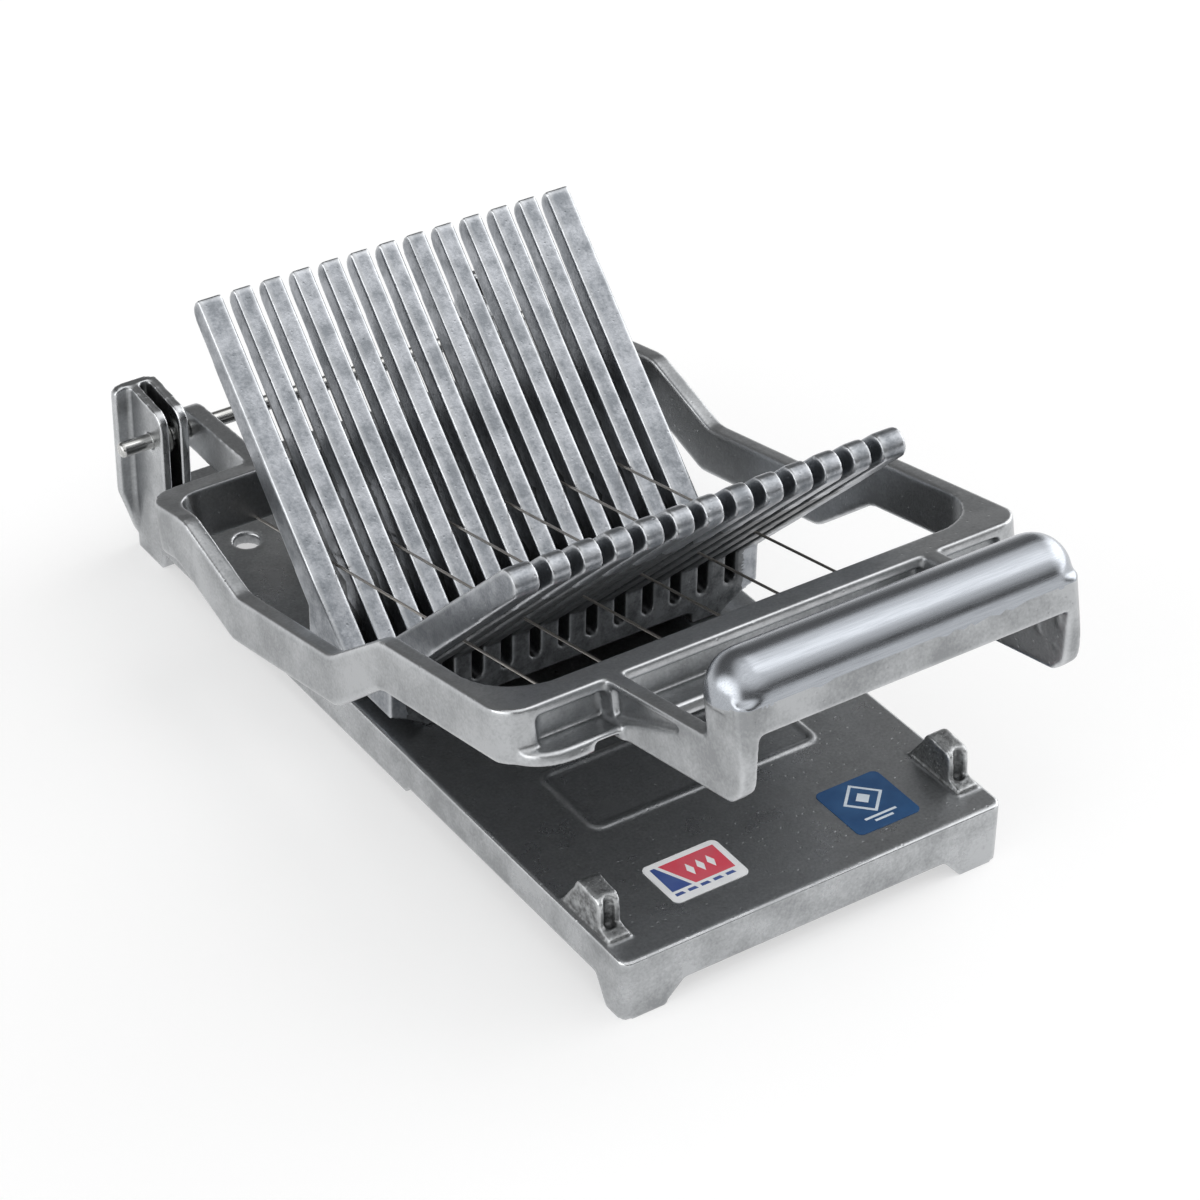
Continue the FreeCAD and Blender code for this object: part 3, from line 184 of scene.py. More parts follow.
@dataclass(frozen=True)
class CastAluminium:
    """Sand-cast aluminium, tumbled after casting.

    Tumbling leaves a satin skin: fine grain from the mould, soft clouds where the skin is
    oxidised and small pits. Edges are painted brighter, partly worn by rubbing and partly as
    painted highlight, and corners and hollows darker as painted shade.
    """

    name: str
    colour: str
    cloud_colour: str
    # Brighter colour on edges: partly metal worn by rubbing, partly painted highlight
    rubbed_highlight_colour: str
    # Darker colour in hollows and corners: painted shade
    hollow_shade_colour: str = "6a6b6c"
    roughness: float = 0.4
    roughness_swing: float = 0.12
    # The sand's own grain is about 0.3 mm, too fine to show, and is drawn coarser
    grain_mm: float = 0.9
    cloud_mm: float = 18.0
    wave_mm: float = 9.0
    pit_mm: float = 2.6
    grain_height_mm: float = 0.035
    wave_height_mm: float = 0.1
    pit_depth_mm: float = 0.06
    cloud_detail: float = 5.0
    grain_detail: float = 2.0
    wave_detail: float = 1.0
    detail_strength: float = 0.6
    pit_edge: tuple[float, float] = (0.05, 0.17)
    speckle: float = 0.4
    mottle_span: tuple[float, float] = (0.36, 0.64)
    cloud_span: tuple[float, float] = (0.35, 0.65)
    # Relief values where edges turn bright: partly worn by rubbing, partly painted highlight
    rubbed_highlight_span: tuple[float, float] = (0.56, 0.9)
    rubbed_highlight_most: float = 0.7
    rubbed_gloss: float = 0.12
    # Relief values where hollows turn dark: painted shade
    hollow_shade_span: tuple[float, float] = (0.46, 0.2)
    hollow_shade_most: float = 0.55

    def wear_highlight_and_shade(self, tree: bpy.types.NodeTree) -> list[bpy.types.NodeSocket]:
        """Read from the stored relief where edges get brighter, partly worn by rubbing and partly
        painted highlight, and where hollows get painted shade.

        Args:
            tree: The material's nodes.

        Returns:
            The share of metal worn by rubbing and painted highlight, and the share of painted
            shade.
        """
        relief = add_node(tree, "ShaderNodeAttribute", {"attribute_name": RELIEF}).outputs["Fac"]
        spans = ((self.rubbed_highlight_span, self.rubbed_highlight_most), (self.hollow_shade_span, self.hollow_shade_most))
        return [
            add_node(tree, "ShaderNodeMapRange", {
                "From Min": start, "From Max": stop, "To Min": 0.0, "To Max": most,
            }, {"Value": relief}).outputs["Result"]
            for (start, stop), most in spans
        ]

    def tint(self, tree: bpy.types.NodeTree, clouds: bpy.types.NodeSocket,
             grain: bpy.types.NodeSocket, rubbed_and_highlit: bpy.types.NodeSocket,
             hollow_shade: bpy.types.NodeSocket) -> bpy.types.NodeSocket:
        """Mix the colour of the skin.

        Args:
            tree: The material's nodes.
            clouds: The oxidised clouds.
            grain: The mould's grain.
            rubbed_and_highlit: Share of brighter metal on edges, partly worn by rubbing and partly
                painted highlight.
            hollow_shade: Share of darker metal in hollows and corners: painted shade.

        Returns:
            The colour.
        """
        speckle = add_node(tree, "ShaderNodeMath", {
            "operation": "MULTIPLY_ADD", 1: self.speckle, 2: -self.speckle / 2,
        }, {0: grain}).outputs[0]
        mottle = add_node(tree, "ShaderNodeMath", {"operation": "ADD"},
                          {0: clouds, 1: speckle}).outputs[0]
        dark_at, light_at = self.mottle_span
        skin = add_node(tree, "ShaderNodeValToRGB", {"stops": (
            (dark_at, hex_colour(self.cloud_colour)), (light_at, hex_colour(self.colour)),
        )}, {"Fac": mottle}).outputs["Color"]
        # Painted highlight, partly metal worn by rubbing: bulging edges mixed towards the brighter
        # colour
        bright = add_node(tree, "ShaderNodeMix", {
            "data_type": "RGBA", MIX_SECOND: hex_colour(self.rubbed_highlight_colour),
        }, {0: rubbed_and_highlit, MIX_FIRST: skin}).outputs[MIX_RESULT]
        # Painted shade: sunken hollows and corners multiplied darker
        return add_node(tree, "ShaderNodeMix", {
            "data_type": "RGBA", "blend_type": "MULTIPLY",
            MIX_SECOND: hex_colour(self.hollow_shade_colour),
        }, {0: hollow_shade, MIX_FIRST: bright}).outputs[MIX_RESULT]

    def satin(self, tree: bpy.types.NodeTree, clouds: bpy.types.NodeSocket,
              rubbed_and_highlit: bpy.types.NodeSocket) -> bpy.types.NodeSocket:
        """Work out the roughness, which clouds change and rubbing lowers.

        Args:
            tree: The material's nodes.
            clouds: The oxidised clouds.
            rubbed_and_highlit: Share of brighter metal on edges, partly worn by rubbing and partly
                painted highlight.

        Returns:
            The roughness.
        """
        half = self.roughness_swing / 2
        start, stop = self.cloud_span
        rough = add_node(tree, "ShaderNodeMapRange", {
            "From Min": start, "From Max": stop,
            "To Min": self.roughness + half, "To Max": self.roughness - half,
        }, {"Value": clouds}).outputs["Result"]
        return add_node(tree, "ShaderNodeMath", {
            "operation": "MULTIPLY_ADD", 1: -self.rubbed_gloss,
        }, {0: rubbed_and_highlit, 2: rough}).outputs[0]

    def bumps(self, tree: bpy.types.NodeTree, place: bpy.types.NodeSocket,
              grain: bpy.types.NodeSocket) -> bpy.types.NodeSocket:
        """Raise the skin's waves and grain, and sink its pits.

        Args:
            tree: The material's nodes.
            place: Each point's place in metres.
            grain: The mould's grain.

        Returns:
            The normal.
        """
        waves = add_node(tree, "ShaderNodeTexNoise", {
            "Scale": per_metre(self.wave_mm), "Detail": self.wave_detail,
        }, {"Vector": place}).outputs["Fac"]
        pits = add_node(tree, "ShaderNodeTexVoronoi", {
            "Scale": per_metre(self.pit_mm), "Randomness": 1.0,
        }, {"Vector": place}).outputs["Distance"]
        start, stop = self.pit_edge
        pit_floor = add_node(tree, "ShaderNodeMapRange", {
            "From Min": start, "From Max": stop, "To Min": 0.0, "To Max": 1.0,
        }, {"Value": pits}).outputs["Result"]
        normal = {}
        for height, size_mm in ((waves, self.wave_height_mm), (grain, self.grain_height_mm),
                                (pit_floor, self.pit_depth_mm)):
            bump = add_node(tree, "ShaderNodeBump", {
                "Strength": 1.0, "Distance": size_mm * MM,
            }, {"Height": height, **normal})
            normal = {"Normal": bump.outputs["Normal"]}
        return normal["Normal"]

    def material(self) -> bpy.types.Material:
        """Build the node material.

        Returns:
            The material.
        """
        material, shader = new_finish(self.name, 1.0)
        tree = material.node_tree
        place = add_node(tree, "ShaderNodeTexCoord").outputs["Object"]
        clouds = add_node(tree, "ShaderNodeTexNoise", {
            "Scale": per_metre(self.cloud_mm), "Detail": self.cloud_detail,
            "Roughness": self.detail_strength,
        }, {"Vector": place}).outputs["Fac"]
        grain = add_node(tree, "ShaderNodeTexNoise", {
            "Scale": per_metre(self.grain_mm), "Detail": self.grain_detail,
            "Roughness": self.detail_strength,
        }, {"Vector": place}).outputs["Fac"]
        rubbed_and_highlit, hollow_shade = self.wear_highlight_and_shade(tree)
        colour = self.tint(tree, clouds, grain, rubbed_and_highlit, hollow_shade)
        tree.links.new(colour, shader.inputs["Base Color"])
        tree.links.new(self.satin(tree, clouds, rubbed_and_highlit), shader.inputs["Roughness"])
        tree.links.new(self.bumps(tree, place, grain), shader.inputs["Normal"])
        return material


@dataclass(frozen=True)
class BrightMetal:
    """Bright metal with fine lines along x, y or z: a polished handle, a drawn rod or wire.

    The lines of polishing or drawing stretch the highlights and break them up.
    """

    name: str
    colour: str
    line_colour: str
    roughness: float
    # Real lines are finer than 0.1 mm, too fine to show, and are drawn at 0.4 mm or more
    line_mm: float
    stretch: tuple[float, float, float]
    line_height_mm: float = 0.004
    line_detail: float = 3.0
    detail_strength: float = 0.65
    colour_span: tuple[float, float] = (0.3, 0.62)
    line_span: tuple[float, float] = (0.3, 0.7)
    dull_factor: float = 1.3
    gloss_factor: float = 0.8

    def material(self) -> bpy.types.Material:
        """Build the node material.

        Returns:
            The material.
        """
        material, shader = new_finish(self.name, 1.0)
        tree = material.node_tree
        place = add_node(tree, "ShaderNodeTexCoord").outputs["Object"]
        stretched = add_node(tree, "ShaderNodeMapping", {"Scale": self.stretch},
                             {"Vector": place}).outputs["Vector"]
        lines = add_node(tree, "ShaderNodeTexNoise", {
            "Scale": per_metre(self.line_mm), "Detail": self.line_detail,
            "Roughness": self.detail_strength,
        }, {"Vector": stretched}).outputs["Fac"]
        dark_at, light_at = self.colour_span
        colour = add_node(tree, "ShaderNodeValToRGB", {"stops": (
            (dark_at, hex_colour(self.line_colour)), (light_at, hex_colour(self.colour)),
        )}, {"Fac": lines}).outputs["Color"]
        tree.links.new(colour, shader.inputs["Base Color"])
        start, stop = self.line_span
        rough = add_node(tree, "ShaderNodeMapRange", {
            "From Min": start, "From Max": stop,
            "To Min": self.roughness * self.dull_factor,
            "To Max": self.roughness * self.gloss_factor,
        }, {"Value": lines}).outputs["Result"]
        tree.links.new(rough, shader.inputs["Roughness"])
        bump = add_node(tree, "ShaderNodeBump", {
            "Strength": 1.0, "Distance": self.line_height_mm * MM,
        }, {"Height": lines})
        tree.links.new(bump.outputs["Normal"], shader.inputs["Normal"])
        return material


@dataclass(frozen=True)
class PrintedFilm:
    """Printed and laminated polyester film: flat ink under a thin satin cover."""

    name: str
    colour: str
    faded_colour: str
    roughness: float = 0.36
    roughness_swing: float = 0.1
    fade_mm: float = 6.0
    fade_detail: float = 3.0
    colour_span: tuple[float, float] = (0.3, 0.75)
    fade_span: tuple[float, float] = (0.3, 0.7)
    ripple_mm: float = 0.02

    def material(self) -> bpy.types.Material:
        """Build the node material.

        Returns:
            The material.
        """
        material, shader = new_finish(self.name, 0.0)
        tree = material.node_tree
        place = add_node(tree, "ShaderNodeTexCoord").outputs["Object"]
        fade = add_node(tree, "ShaderNodeTexNoise", {
            "Scale": per_metre(self.fade_mm), "Detail": self.fade_detail,
        }, {"Vector": place}).outputs["Fac"]
        fresh_at, faded_at = self.colour_span
        colour = add_node(tree, "ShaderNodeValToRGB", {"stops": (
            (fresh_at, hex_colour(self.colour)), (faded_at, hex_colour(self.faded_colour)),
        )}, {"Fac": fade}).outputs["Color"]
        tree.links.new(colour, shader.inputs["Base Color"])
        start, stop = self.fade_span
        rough = add_node(tree, "ShaderNodeMapRange", {
            "From Min": start, "From Max": stop,
            "To Min": self.roughness, "To Max": self.roughness + self.roughness_swing,
        }, {"Value": fade}).outputs["Result"]
        tree.links.new(rough, shader.inputs["Roughness"])
        bump = add_node(tree, "ShaderNodeBump", {
            "Strength": 1.0, "Distance": self.ripple_mm * MM,
        }, {"Height": fade})
        tree.links.new(bump.outputs["Normal"], shader.inputs["Normal"])
        return material


@dataclass(frozen=True)
class StudioPaper:
    """Matt white paper under the tool: no gloss, and a soft shadow.

    For the rays that show the background, part of it is plain white.
    """

    name: str = "pale_paper_floor"
    colour: str = "ffffff"
    roughness: float = 0.9
    white_share: float = 0.5

    def material(self) -> bpy.types.Material:
        """Build the node material.

        Returns:
            The material.
        """
        material, shader = new_finish(self.name, 0.0)
        shader.inputs["Base Color"].default_value = hex_colour(self.colour)
        shader.inputs["Roughness"].default_value = self.roughness
        shader.inputs["Specular IOR Level"].default_value = 0.0
        tree = material.node_tree
        path = add_node(tree, "ShaderNodeLightPath")
        seen = path.outputs["Is Camera Ray"]
        for ray in ("Is Glossy Ray", "Is Transmission Ray"):
            seen = add_node(tree, "ShaderNodeMath", {"operation": "MAXIMUM"}, {
                0: seen, 1: path.outputs[ray]}).outputs[0]
        share = add_node(tree, "ShaderNodeMath", {
            "operation": "MULTIPLY", 1: self.white_share}, {0: seen}).outputs[0]
        white = add_node(tree, "ShaderNodeEmission").outputs["Emission"]
        mixed = add_node(tree, "ShaderNodeMixShader", links={
            0: share, 1: shader.outputs["BSDF"], 2: white}).outputs["Shader"]
        tree.links.new(mixed, tree.nodes["Material Output"].inputs["Surface"])
        return material


@dataclass(frozen=True)
class ArmFrame:
    """The raised arm's own frame: along it from the rod, and up from its wire plane."""

    hinge_y_mm: float = 133.9
    hinge_z_mm: float = 43.7
    wire_drop_mm: float = 14.0
    raised_degrees: float = 11.94

    def turn(self) -> Matrix:
        """Matrix from the level arm at the origin to the raised arm."""
        shift = Matrix.Translation(Vector((0.0, self.hinge_y_mm, self.hinge_z_mm)) * MM)
        return shift @ Matrix.Rotation(-math.radians(self.raised_degrees), 4, "X")

    def place(self, x: float, along: float, rise: float) -> Vector:
        """Point on the raised arm, in metres, from millimetres in the arm's frame."""
        return self.turn() @ (Vector((x, -along, rise - self.wire_drop_mm)) * MM)


def rounded_bead(points: Sequence[Vector], radius_mm: float, sides: int = 12) -> bmesh.types.BMesh:
    """Closed round bar along points, as a loose mesh.

    Args:
        points: The middle line, in metres.
        radius_mm: The bar's radius.
        sides: Facets round it.

    Returns:
        The mesh, which the caller frees.
    """
    form = bmesh.new()
    rings = []
    for index, point in enumerate(points):
        ahead = points[min(index + 1, len(points) - 1)] - points[max(index - 1, 0)]
        turn = ahead.to_track_quat("Z", "Y").to_matrix()
        ring = []
        for step in range(sides):
            angle = 2 * math.pi * step / sides
            out = turn @ Vector((math.cos(angle), math.sin(angle), 0.0))
            ring.append(form.verts.new(point + out * radius_mm * MM))
        rings.append(ring)
    for first, second in zip(rings, rings[1:]):
        for step in range(sides):
            after = (step + 1) % sides
            form.faces.new((first[step], first[after], second[after], second[step]))
    form.faces.new(list(reversed(rings[0])))
    form.faces.new(rings[-1])
    return form


def arc_points(centre: tuple[float, float], radius: float, start: float, stop: float,
               steps: int = 8) -> list[tuple[float, float]]:
    """Points on an arc in a plane.

    Args:
        centre: The arc's centre.
        radius: The arc's radius.
        start: First angle in degrees.
        stop: Last angle in degrees.
        steps: Chords along the arc.

    Returns:
        The points, both ends included.
    """
    angles = [math.radians(start + (stop - start) * step / steps) for step in range(steps + 1)]
    return [(centre[0] + radius * math.cos(a), centre[1] + radius * math.sin(a)) for a in angles]


def stored_mesh(form: bmesh.types.BMesh, name: str) -> bpy.types.Mesh:
    """Turn a loose mesh into a stored one, and free it.

    Args:
        form: The loose mesh.
        name: The stored mesh's name.

    Returns:
        The stored mesh.
    """
    mesh = bpy.data.meshes.new(name)
    form.to_mesh(mesh)
    form.free()
    return mesh


def add_object(name: str, data: bpy.types.ID) -> bpy.types.Object:
    """Add an object to the scene.

    Args:
        name: Its name.
        data: Its mesh, lamp or camera.

    Returns:
        The object.
    """
    item = bpy.data.objects.new(name, data)
    bpy.context.scene.collection.objects.link(item)
    return item


def worked_mesh(mesh: bpy.types.Mesh, steps: Sequence[tuple[str, dict]]) -> bpy.types.Mesh:
    """Run a mesh through modifiers.

    Args:
        mesh: The mesh, which is used up.
        steps: The kind and the settings of each modifier, in order.

    Returns:
        The mesh that comes out.
    """
    holder = add_object("workpiece", mesh)
    for kind, settings in steps:
        modifier = holder.modifiers.new(kind.lower(), kind)
        for name, value in settings.items():
            setattr(modifier, name, value)
    graph = bpy.context.evaluated_depsgraph_get()
    result = bpy.data.meshes.new_from_object(holder.evaluated_get(graph))
    bpy.data.objects.remove(holder)
    bpy.data.meshes.remove(mesh)
    return result


def mark_relief(mesh: bpy.types.Mesh, grain_mm: float, passes: int = 3, gain: float = 3.0) -> None:
    """Store how far each point bulges or sinks, so that a finish can show edges worn by rubbing,
    paint highlights on them and paint shade into its hollows.

    Args:
        mesh: The casting's mesh.
        grain_mm: Its usual edge length.
        passes: How often the result is averaged with its neighbours.
        gain: How strongly a bulge counts.
    """
    count = len(mesh.vertices)
    points = np.empty(count * 3, dtype=np.float32)
    mesh.vertices.foreach_get("co", points)
    points = points.reshape(count, 3)
    normals = np.empty(count * 3, dtype=np.float32)
    mesh.vertex_normals.foreach_get("vector", normals)
    normals = normals.reshape(count, 3)
    ends = np.empty(len(mesh.edges) * 2, dtype=np.int32)
    mesh.edges.foreach_get("vertices", ends)
    first, second = ends[0::2], ends[1::2]
    degree = np.maximum(np.bincount(first, minlength=count)
                        + np.bincount(second, minlength=count), 1)

    def neighbours(values: np.ndarray) -> np.ndarray:
        """Average over the points that an edge joins to each point.

        Args:
            values: One value for each point.

        Returns:
            The mean of its neighbours' values for each point.
        """
        total = np.bincount(first, weights=values[second], minlength=count)
        total += np.bincount(second, weights=values[first], minlength=count)
        return total / degree

    bulge = sum((points[:, axis] - neighbours(points[:, axis])) * normals[:, axis]
                for axis in range(3)) / (grain_mm * MM)
    for _ in range(passes):
        bulge = (bulge + neighbours(bulge)) / 2
    relief = np.clip(RELIEF_FLAT + gain * bulge, 0.0, 1.0).astype(np.float32)
    mesh.attributes.new(RELIEF, "FLOAT", "POINT").data.foreach_set("value", relief)


@dataclass(frozen=True)
class TumbledForm:
    """How tumbling rounds a casting: the grain of its mesh and the passes of smoothing."""

    grain_mm: float
    passes: int
    level: Matrix
    smooth_share: float = 0.5
    weld_mm: float = 0.002
    kept_share: float = 0.35

    def build(self, node: bpy.types.Object, name: str,
              beads: Sequence[bmesh.types.BMesh] = ()) -> bpy.types.Object:
        """Make a softened copy of a CAD node, with beads cast into it.

        Args:
            node: The CAD node, which stays as it is.
            name: The new piece's name.
            beads: Closed meshes that become part of the casting.

        Returns:
            The new piece.
        """
        form = bmesh.new()
        form.from_mesh(node.data)
        for bead in beads:
            loose = stored_mesh(bead, "bead")
            form.from_mesh(loose)
            bpy.data.meshes.remove(loose)
        bmesh.ops.remove_doubles(form, verts=form.verts, dist=self.weld_mm * MM)
        bmesh.ops.transform(form, matrix=self.level.inverted(), verts=form.verts)
        dense = worked_mesh(stored_mesh(form, name + "_rough"), (
            ("REMESH", {"mode": "VOXEL", "voxel_size": self.grain_mm * MM, "adaptivity": 0.0}),
            ("SMOOTH", {"factor": self.smooth_share, "iterations": self.passes}),
        ))
        dense.transform(self.level)
        mark_relief(dense, self.grain_mm)
        light = worked_mesh(dense, (("DECIMATE", {"ratio": self.kept_share}),))
        light.name = name
        light.shade_smooth()
        return add_object(name, light)


def dress(piece: bpy.types.Object, materials: Sequence[bpy.types.Material],
          choose: Callable[[np.ndarray], np.ndarray] | None = None) -> None:
    """Give a piece its finishes.

    Args:
        piece: The piece.
        materials: Its finishes, the usual one first.
        choose: Gives the finish's number for each face centre, in millimetres.
    """
    mesh = piece.data
    mesh.materials.clear()
    for material in materials:
        mesh.materials.append(material)
    if choose is None:
        return
    centres = np.empty(len(mesh.polygons) * 3, dtype=np.float32)
    mesh.polygons.foreach_get("center", centres)
    numbers = choose(centres.reshape(-1, 3) / MM).astype(np.int32)
    mesh.polygons.foreach_set("material_index", numbers)


def flat_print(name: str, outline: Sequence[tuple[float, float]], low_mm: float,
               thick_mm: float) -> bpy.types.Object:
    """Thin print on a label, from its outline.

    Args:
        name: The new piece's name.
        outline: Its corners in mm, counter-clockwise from above.
        low_mm: Height of its underside.
        thick_mm: Its thickness.

    Returns:
        The new piece.
    """
    form = bmesh.new()
    low, high = ([form.verts.new(Vector((x, y, level)) * MM) for x, y in outline]
                 for level in (low_mm, low_mm + thick_mm))
    form.faces.new(list(reversed(low)))
    form.faces.new(high)
    for here in range(len(outline)):
        after = (here + 1) % len(outline)
        form.faces.new((low[here], low[after], high[after], high[here]))
    return add_object(name, stored_mesh(form, name))


@dataclass
class BaseCasting:
    """Base plate with its feet, rest posts and hinge brackets."""

    grain_mm: float = 0.6
    passes: int = 3
    plate_top_mm: float = 19.0
    post_foot_mm: float = 0.4
    post_rear_mm: float = -82.0
    post_inside_mm: float = 51.5
    # Tumbled cast aluminium: a satin plate with soft clouds, bright edges partly worn by
    # rubbing and partly painted highlight, and painted shade in its hollows
    skin: CastAluminium = CastAluminium("base_tumbled_aluminium", "babcbe", "97999b", "d6d8da",
                                        roughness=0.31)
    # Cast aluminium that tumbling hardly reaches: a lumpy, duller skin with dark mottles,
    # bright bumps partly worn by rubbing and partly painted highlight, and painted shade in
    # its hollows
    post_skin: CastAluminium = CastAluminium("post_rough_cast_aluminium", "a9abac", "6a6b6c",
                                             "d2d4d5", roughness=0.42, roughness_swing=0.2,
                                             cloud_mm=3.0, grain_height_mm=0.12,
                                             pit_mm=1.4, pit_depth_mm=0.2)

    def choose(self, centres: np.ndarray) -> np.ndarray:
        """Give the rest posts the rough cast skin.

        Args:
            centres: The face centres in millimetres.

        Returns:
            True for the faces that get it.
        """
        above = centres[:, 2] > self.plate_top_mm + self.post_foot_mm
        ahead = centres[:, 1] < self.post_rear_mm
        outside = np.abs(centres[:, 0]) > self.post_inside_mm
        return above & ahead & outside

    def build(self, nodes: dict[str, bpy.types.Object]) -> None:
        """Make the casting and hide its CAD node.

        Args:
            nodes: The CAD nodes by name.
        """
        form = TumbledForm(self.grain_mm, self.passes, Matrix.Identity(4))
        piece = form.build(nodes["base_casting"], "base_casting_look")
        dress(piece, (self.skin.material(), self.post_skin.material()), self.choose)
        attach(piece, "base")
        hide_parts("base_casting")
        LOG.info("base casting: %d faces", len(piece.data.polygons))


@dataclass
class CradleCasting:
    """The two combs on their riser block."""

    grain_mm: float = 0.6
    passes: int = 6
    lean_degrees: float = 45.0
    vee_y_mm: float = 20.7
    vee_z_mm: float = 30.85
    comb_deep_mm: float = 9.0
    end_tooth_mm: float = 56.5
    tip_z_mm: float = 84.0
    # Tumbled cast aluminium: cool satin teeth, finely mottled, with bright edges partly worn
    # by rubbing and partly painted highlight, and painted shade in the hollows
    skin: CastAluminium = CastAluminium("cradle_tumbled_aluminium", "a2a5aa", "7d8186",
                                        "d8dadc", roughness=0.36, cloud_mm=7.0,
                                        grain_height_mm=0.06)
    # Cast aluminium under the combs: darker as painted shade, and duller
    riser_shade_skin: CastAluminium = CastAluminium("riser_painted_shade_aluminium", "737577", "4f5153",
                                              "9a9c9e", roughness=0.46, cloud_mm=5.0,
                                              grain_height_mm=0.07)

    def choose(self, centres: np.ndarray) -> np.ndarray:
        """Give the riser and the combs' undersides the darker skin: painted shade under the combs.

        Args:
            centres: The face centres in millimetres.

        Returns:
            True for the faces that get it.
        """
        under = centres[:, 2] < (self.vee_z_mm + np.abs(centres[:, 1] - self.vee_y_mm)
                                 - self.comb_deep_mm)
        between = np.abs(centres[:, 0]) < self.end_tooth_mm
        return under & between & (centres[:, 2] < self.tip_z_mm)

    def build(self, nodes: dict[str, bpy.types.Object]) -> None:
        """Make the casting and hide its CAD node.

        Args:
            nodes: The CAD nodes by name.
        """
        level = Matrix.Rotation(math.radians(self.lean_degrees), 4, "X")
        form = TumbledForm(self.grain_mm, self.passes, level)
        piece = form.build(nodes["cradle_casting"], "cradle_casting_look")
        dress(piece, (self.skin.material(), self.riser_shade_skin.material()), self.choose)
        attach(piece, "base")
        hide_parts("cradle_casting")
        LOG.info("cradle casting: %d faces", len(piece.data.polygons))


@dataclass
class ArmCasting:
    """Hinged frame with its front bar, two legs and the polished handle.

    Corners are given as x, distance along the arm and rise, and the leg rim's profile as
    distance along the arm and rise.
    """

    frame: ArmFrame
    grain_mm: float = 0.6
    passes: int = 12
    flange_half_mm: float = 80.0
    flange_front_mm: float = 235.0
    flange_corner_mm: float = 12.0
    flange_back_mm: float = 223.0
    lip_mm: float = 1.2
    lip_rise_mm: float = -0.2
    lip_side_inset_mm: float = 0.5
    lip_front_inset_mm: float = 0.8
    seat_inside_mm: float = 51.0
    seat_outside_mm: float = 63.2
    leg_outside_mm: float = 52.5
    leg_rim_mm: float = 1.9
    leg_rim_inset_mm: float = 2.0
    leg_rim_profile: tuple[tuple[float, float], ...] = (
        (231.0, 0.6), (276.0, 0.6), (280.5, 1.4), (283.0, 4.0))
    flare_mm: float = 2.4
    front_flare: tuple[tuple[float, float, float], ...] = (
        (49.4, 284.4, 25.0), (49.5, 284.4, 19.0), (49.6, 283.9, 12.0), (49.6, 282.0, 6.0))
    rear_flare: tuple[tuple[float, float, float], ...] = (
        (49.4, 273.6, 25.0), (49.5, 273.6, 19.0), (49.6, 274.4, 13.0), (49.6, 276.0, 8.0))
    handle_rear_mm: float = 268.0
    polish_low_mm: float = 25.4
    # Tumbled cast aluminium: the palest satin skin, with soft clouds, bright edges partly worn
    # by rubbing and partly painted highlight, and painted shade in its hollows
    skin: CastAluminium = CastAluminium("arm_tumbled_aluminium", "b6b8ba", "96989a", "dee0e2",
                                        roughness=0.36)
    # Cast aluminium polished along the handle: one long, soft highlight
    polish: BrightMetal = BrightMetal("handle_polished_aluminium", "acb0b6", "a0a4aa", 0.23,
                                      0.5, (0.04, 1.0, 1.0), 0.0012)

    def choose(self, centres: np.ndarray) -> np.ndarray:
        """Give the round of the handle the polished finish.

        Args:
            centres: The face centres in millimetres.

        Returns:
            True for the faces that get it.
        """
        back = np.array(self.frame.turn().inverted())
        level = centres * MM @ back[:3, :3].T + back[:3, 3]
        along = -level[:, 1] / MM
        rise = level[:, 2] / MM + self.frame.wire_drop_mm
        return (along > self.handle_rear_mm) & (rise > self.polish_low_mm)

    def flange_lip(self) -> list[bmesh.types.BMesh]:
        """Rounded lip along the lower flange, left open at the two seats of the rest posts.

        Returns:
            Its right corner, middle and left corner, as loose meshes.
        """
        inset = self.flange_corner_mm
        wide = self.flange_half_mm - self.lip_side_inset_mm
        front = self.flange_front_mm - self.lip_front_inset_mm
        corner = [(wide, self.flange_back_mm)]
        corner += arc_points((wide - inset, front - inset), inset, 0.0, QUARTER)
        corner.append((self.seat_outside_mm, front))
        middle = [(self.seat_inside_mm, front), (0.0, front), (-self.seat_inside_mm, front)]
        plans = (corner, middle, [(-x, along) for x, along in corner])
        return [rounded_bead([self.frame.place(x, along, self.lip_rise_mm)
                              for x, along in plan], self.lip_mm) for plan in plans]

    def leg_rim(self, side: Side) -> bmesh.types.BMesh:
        """Thick rim along a leg's lower edge, up to its toe.

        Args:
            side: Which leg.

        Returns:
            The rim as a loose mesh.
        """
        x = side.value * (self.leg_outside_mm - self.leg_rim_inset_mm)
        points = [self.frame.place(x, along, rise) for along, rise in self.leg_rim_profile]
        return rounded_bead(points, self.leg_rim_mm)

    def column_flares(self, side: Side) -> list[bmesh.types.BMesh]:
        """Rounded corners that carry a leg's column out into the handle's round end.

        Args:
            side: Which leg.

        Returns:
            The front and the rear corner, as loose meshes.
        """
        return [rounded_bead([self.frame.place(side.value * x, along, rise)
                              for x, along, rise in corner], self.flare_mm)
                for corner in (self.front_flare, self.rear_flare)]

    def build(self, nodes: dict[str, bpy.types.Object]) -> None:
        """Make the casting and hide its CAD node.

        Args:
            nodes: The CAD nodes by name.
        """
        beads = self.flange_lip()
        for side in Side:
            beads.append(self.leg_rim(side))
            beads.extend(self.column_flares(side))
        form = TumbledForm(self.grain_mm, self.passes, self.frame.turn())
        piece = form.build(nodes["arm_casting"], "arm_casting_look", beads)
        dress(piece, (self.skin.material(), self.polish.material()), self.choose)
        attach(piece, "arm")
        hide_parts("arm_casting")
        LOG.info("arm casting: %d faces", len(piece.data.polygons))


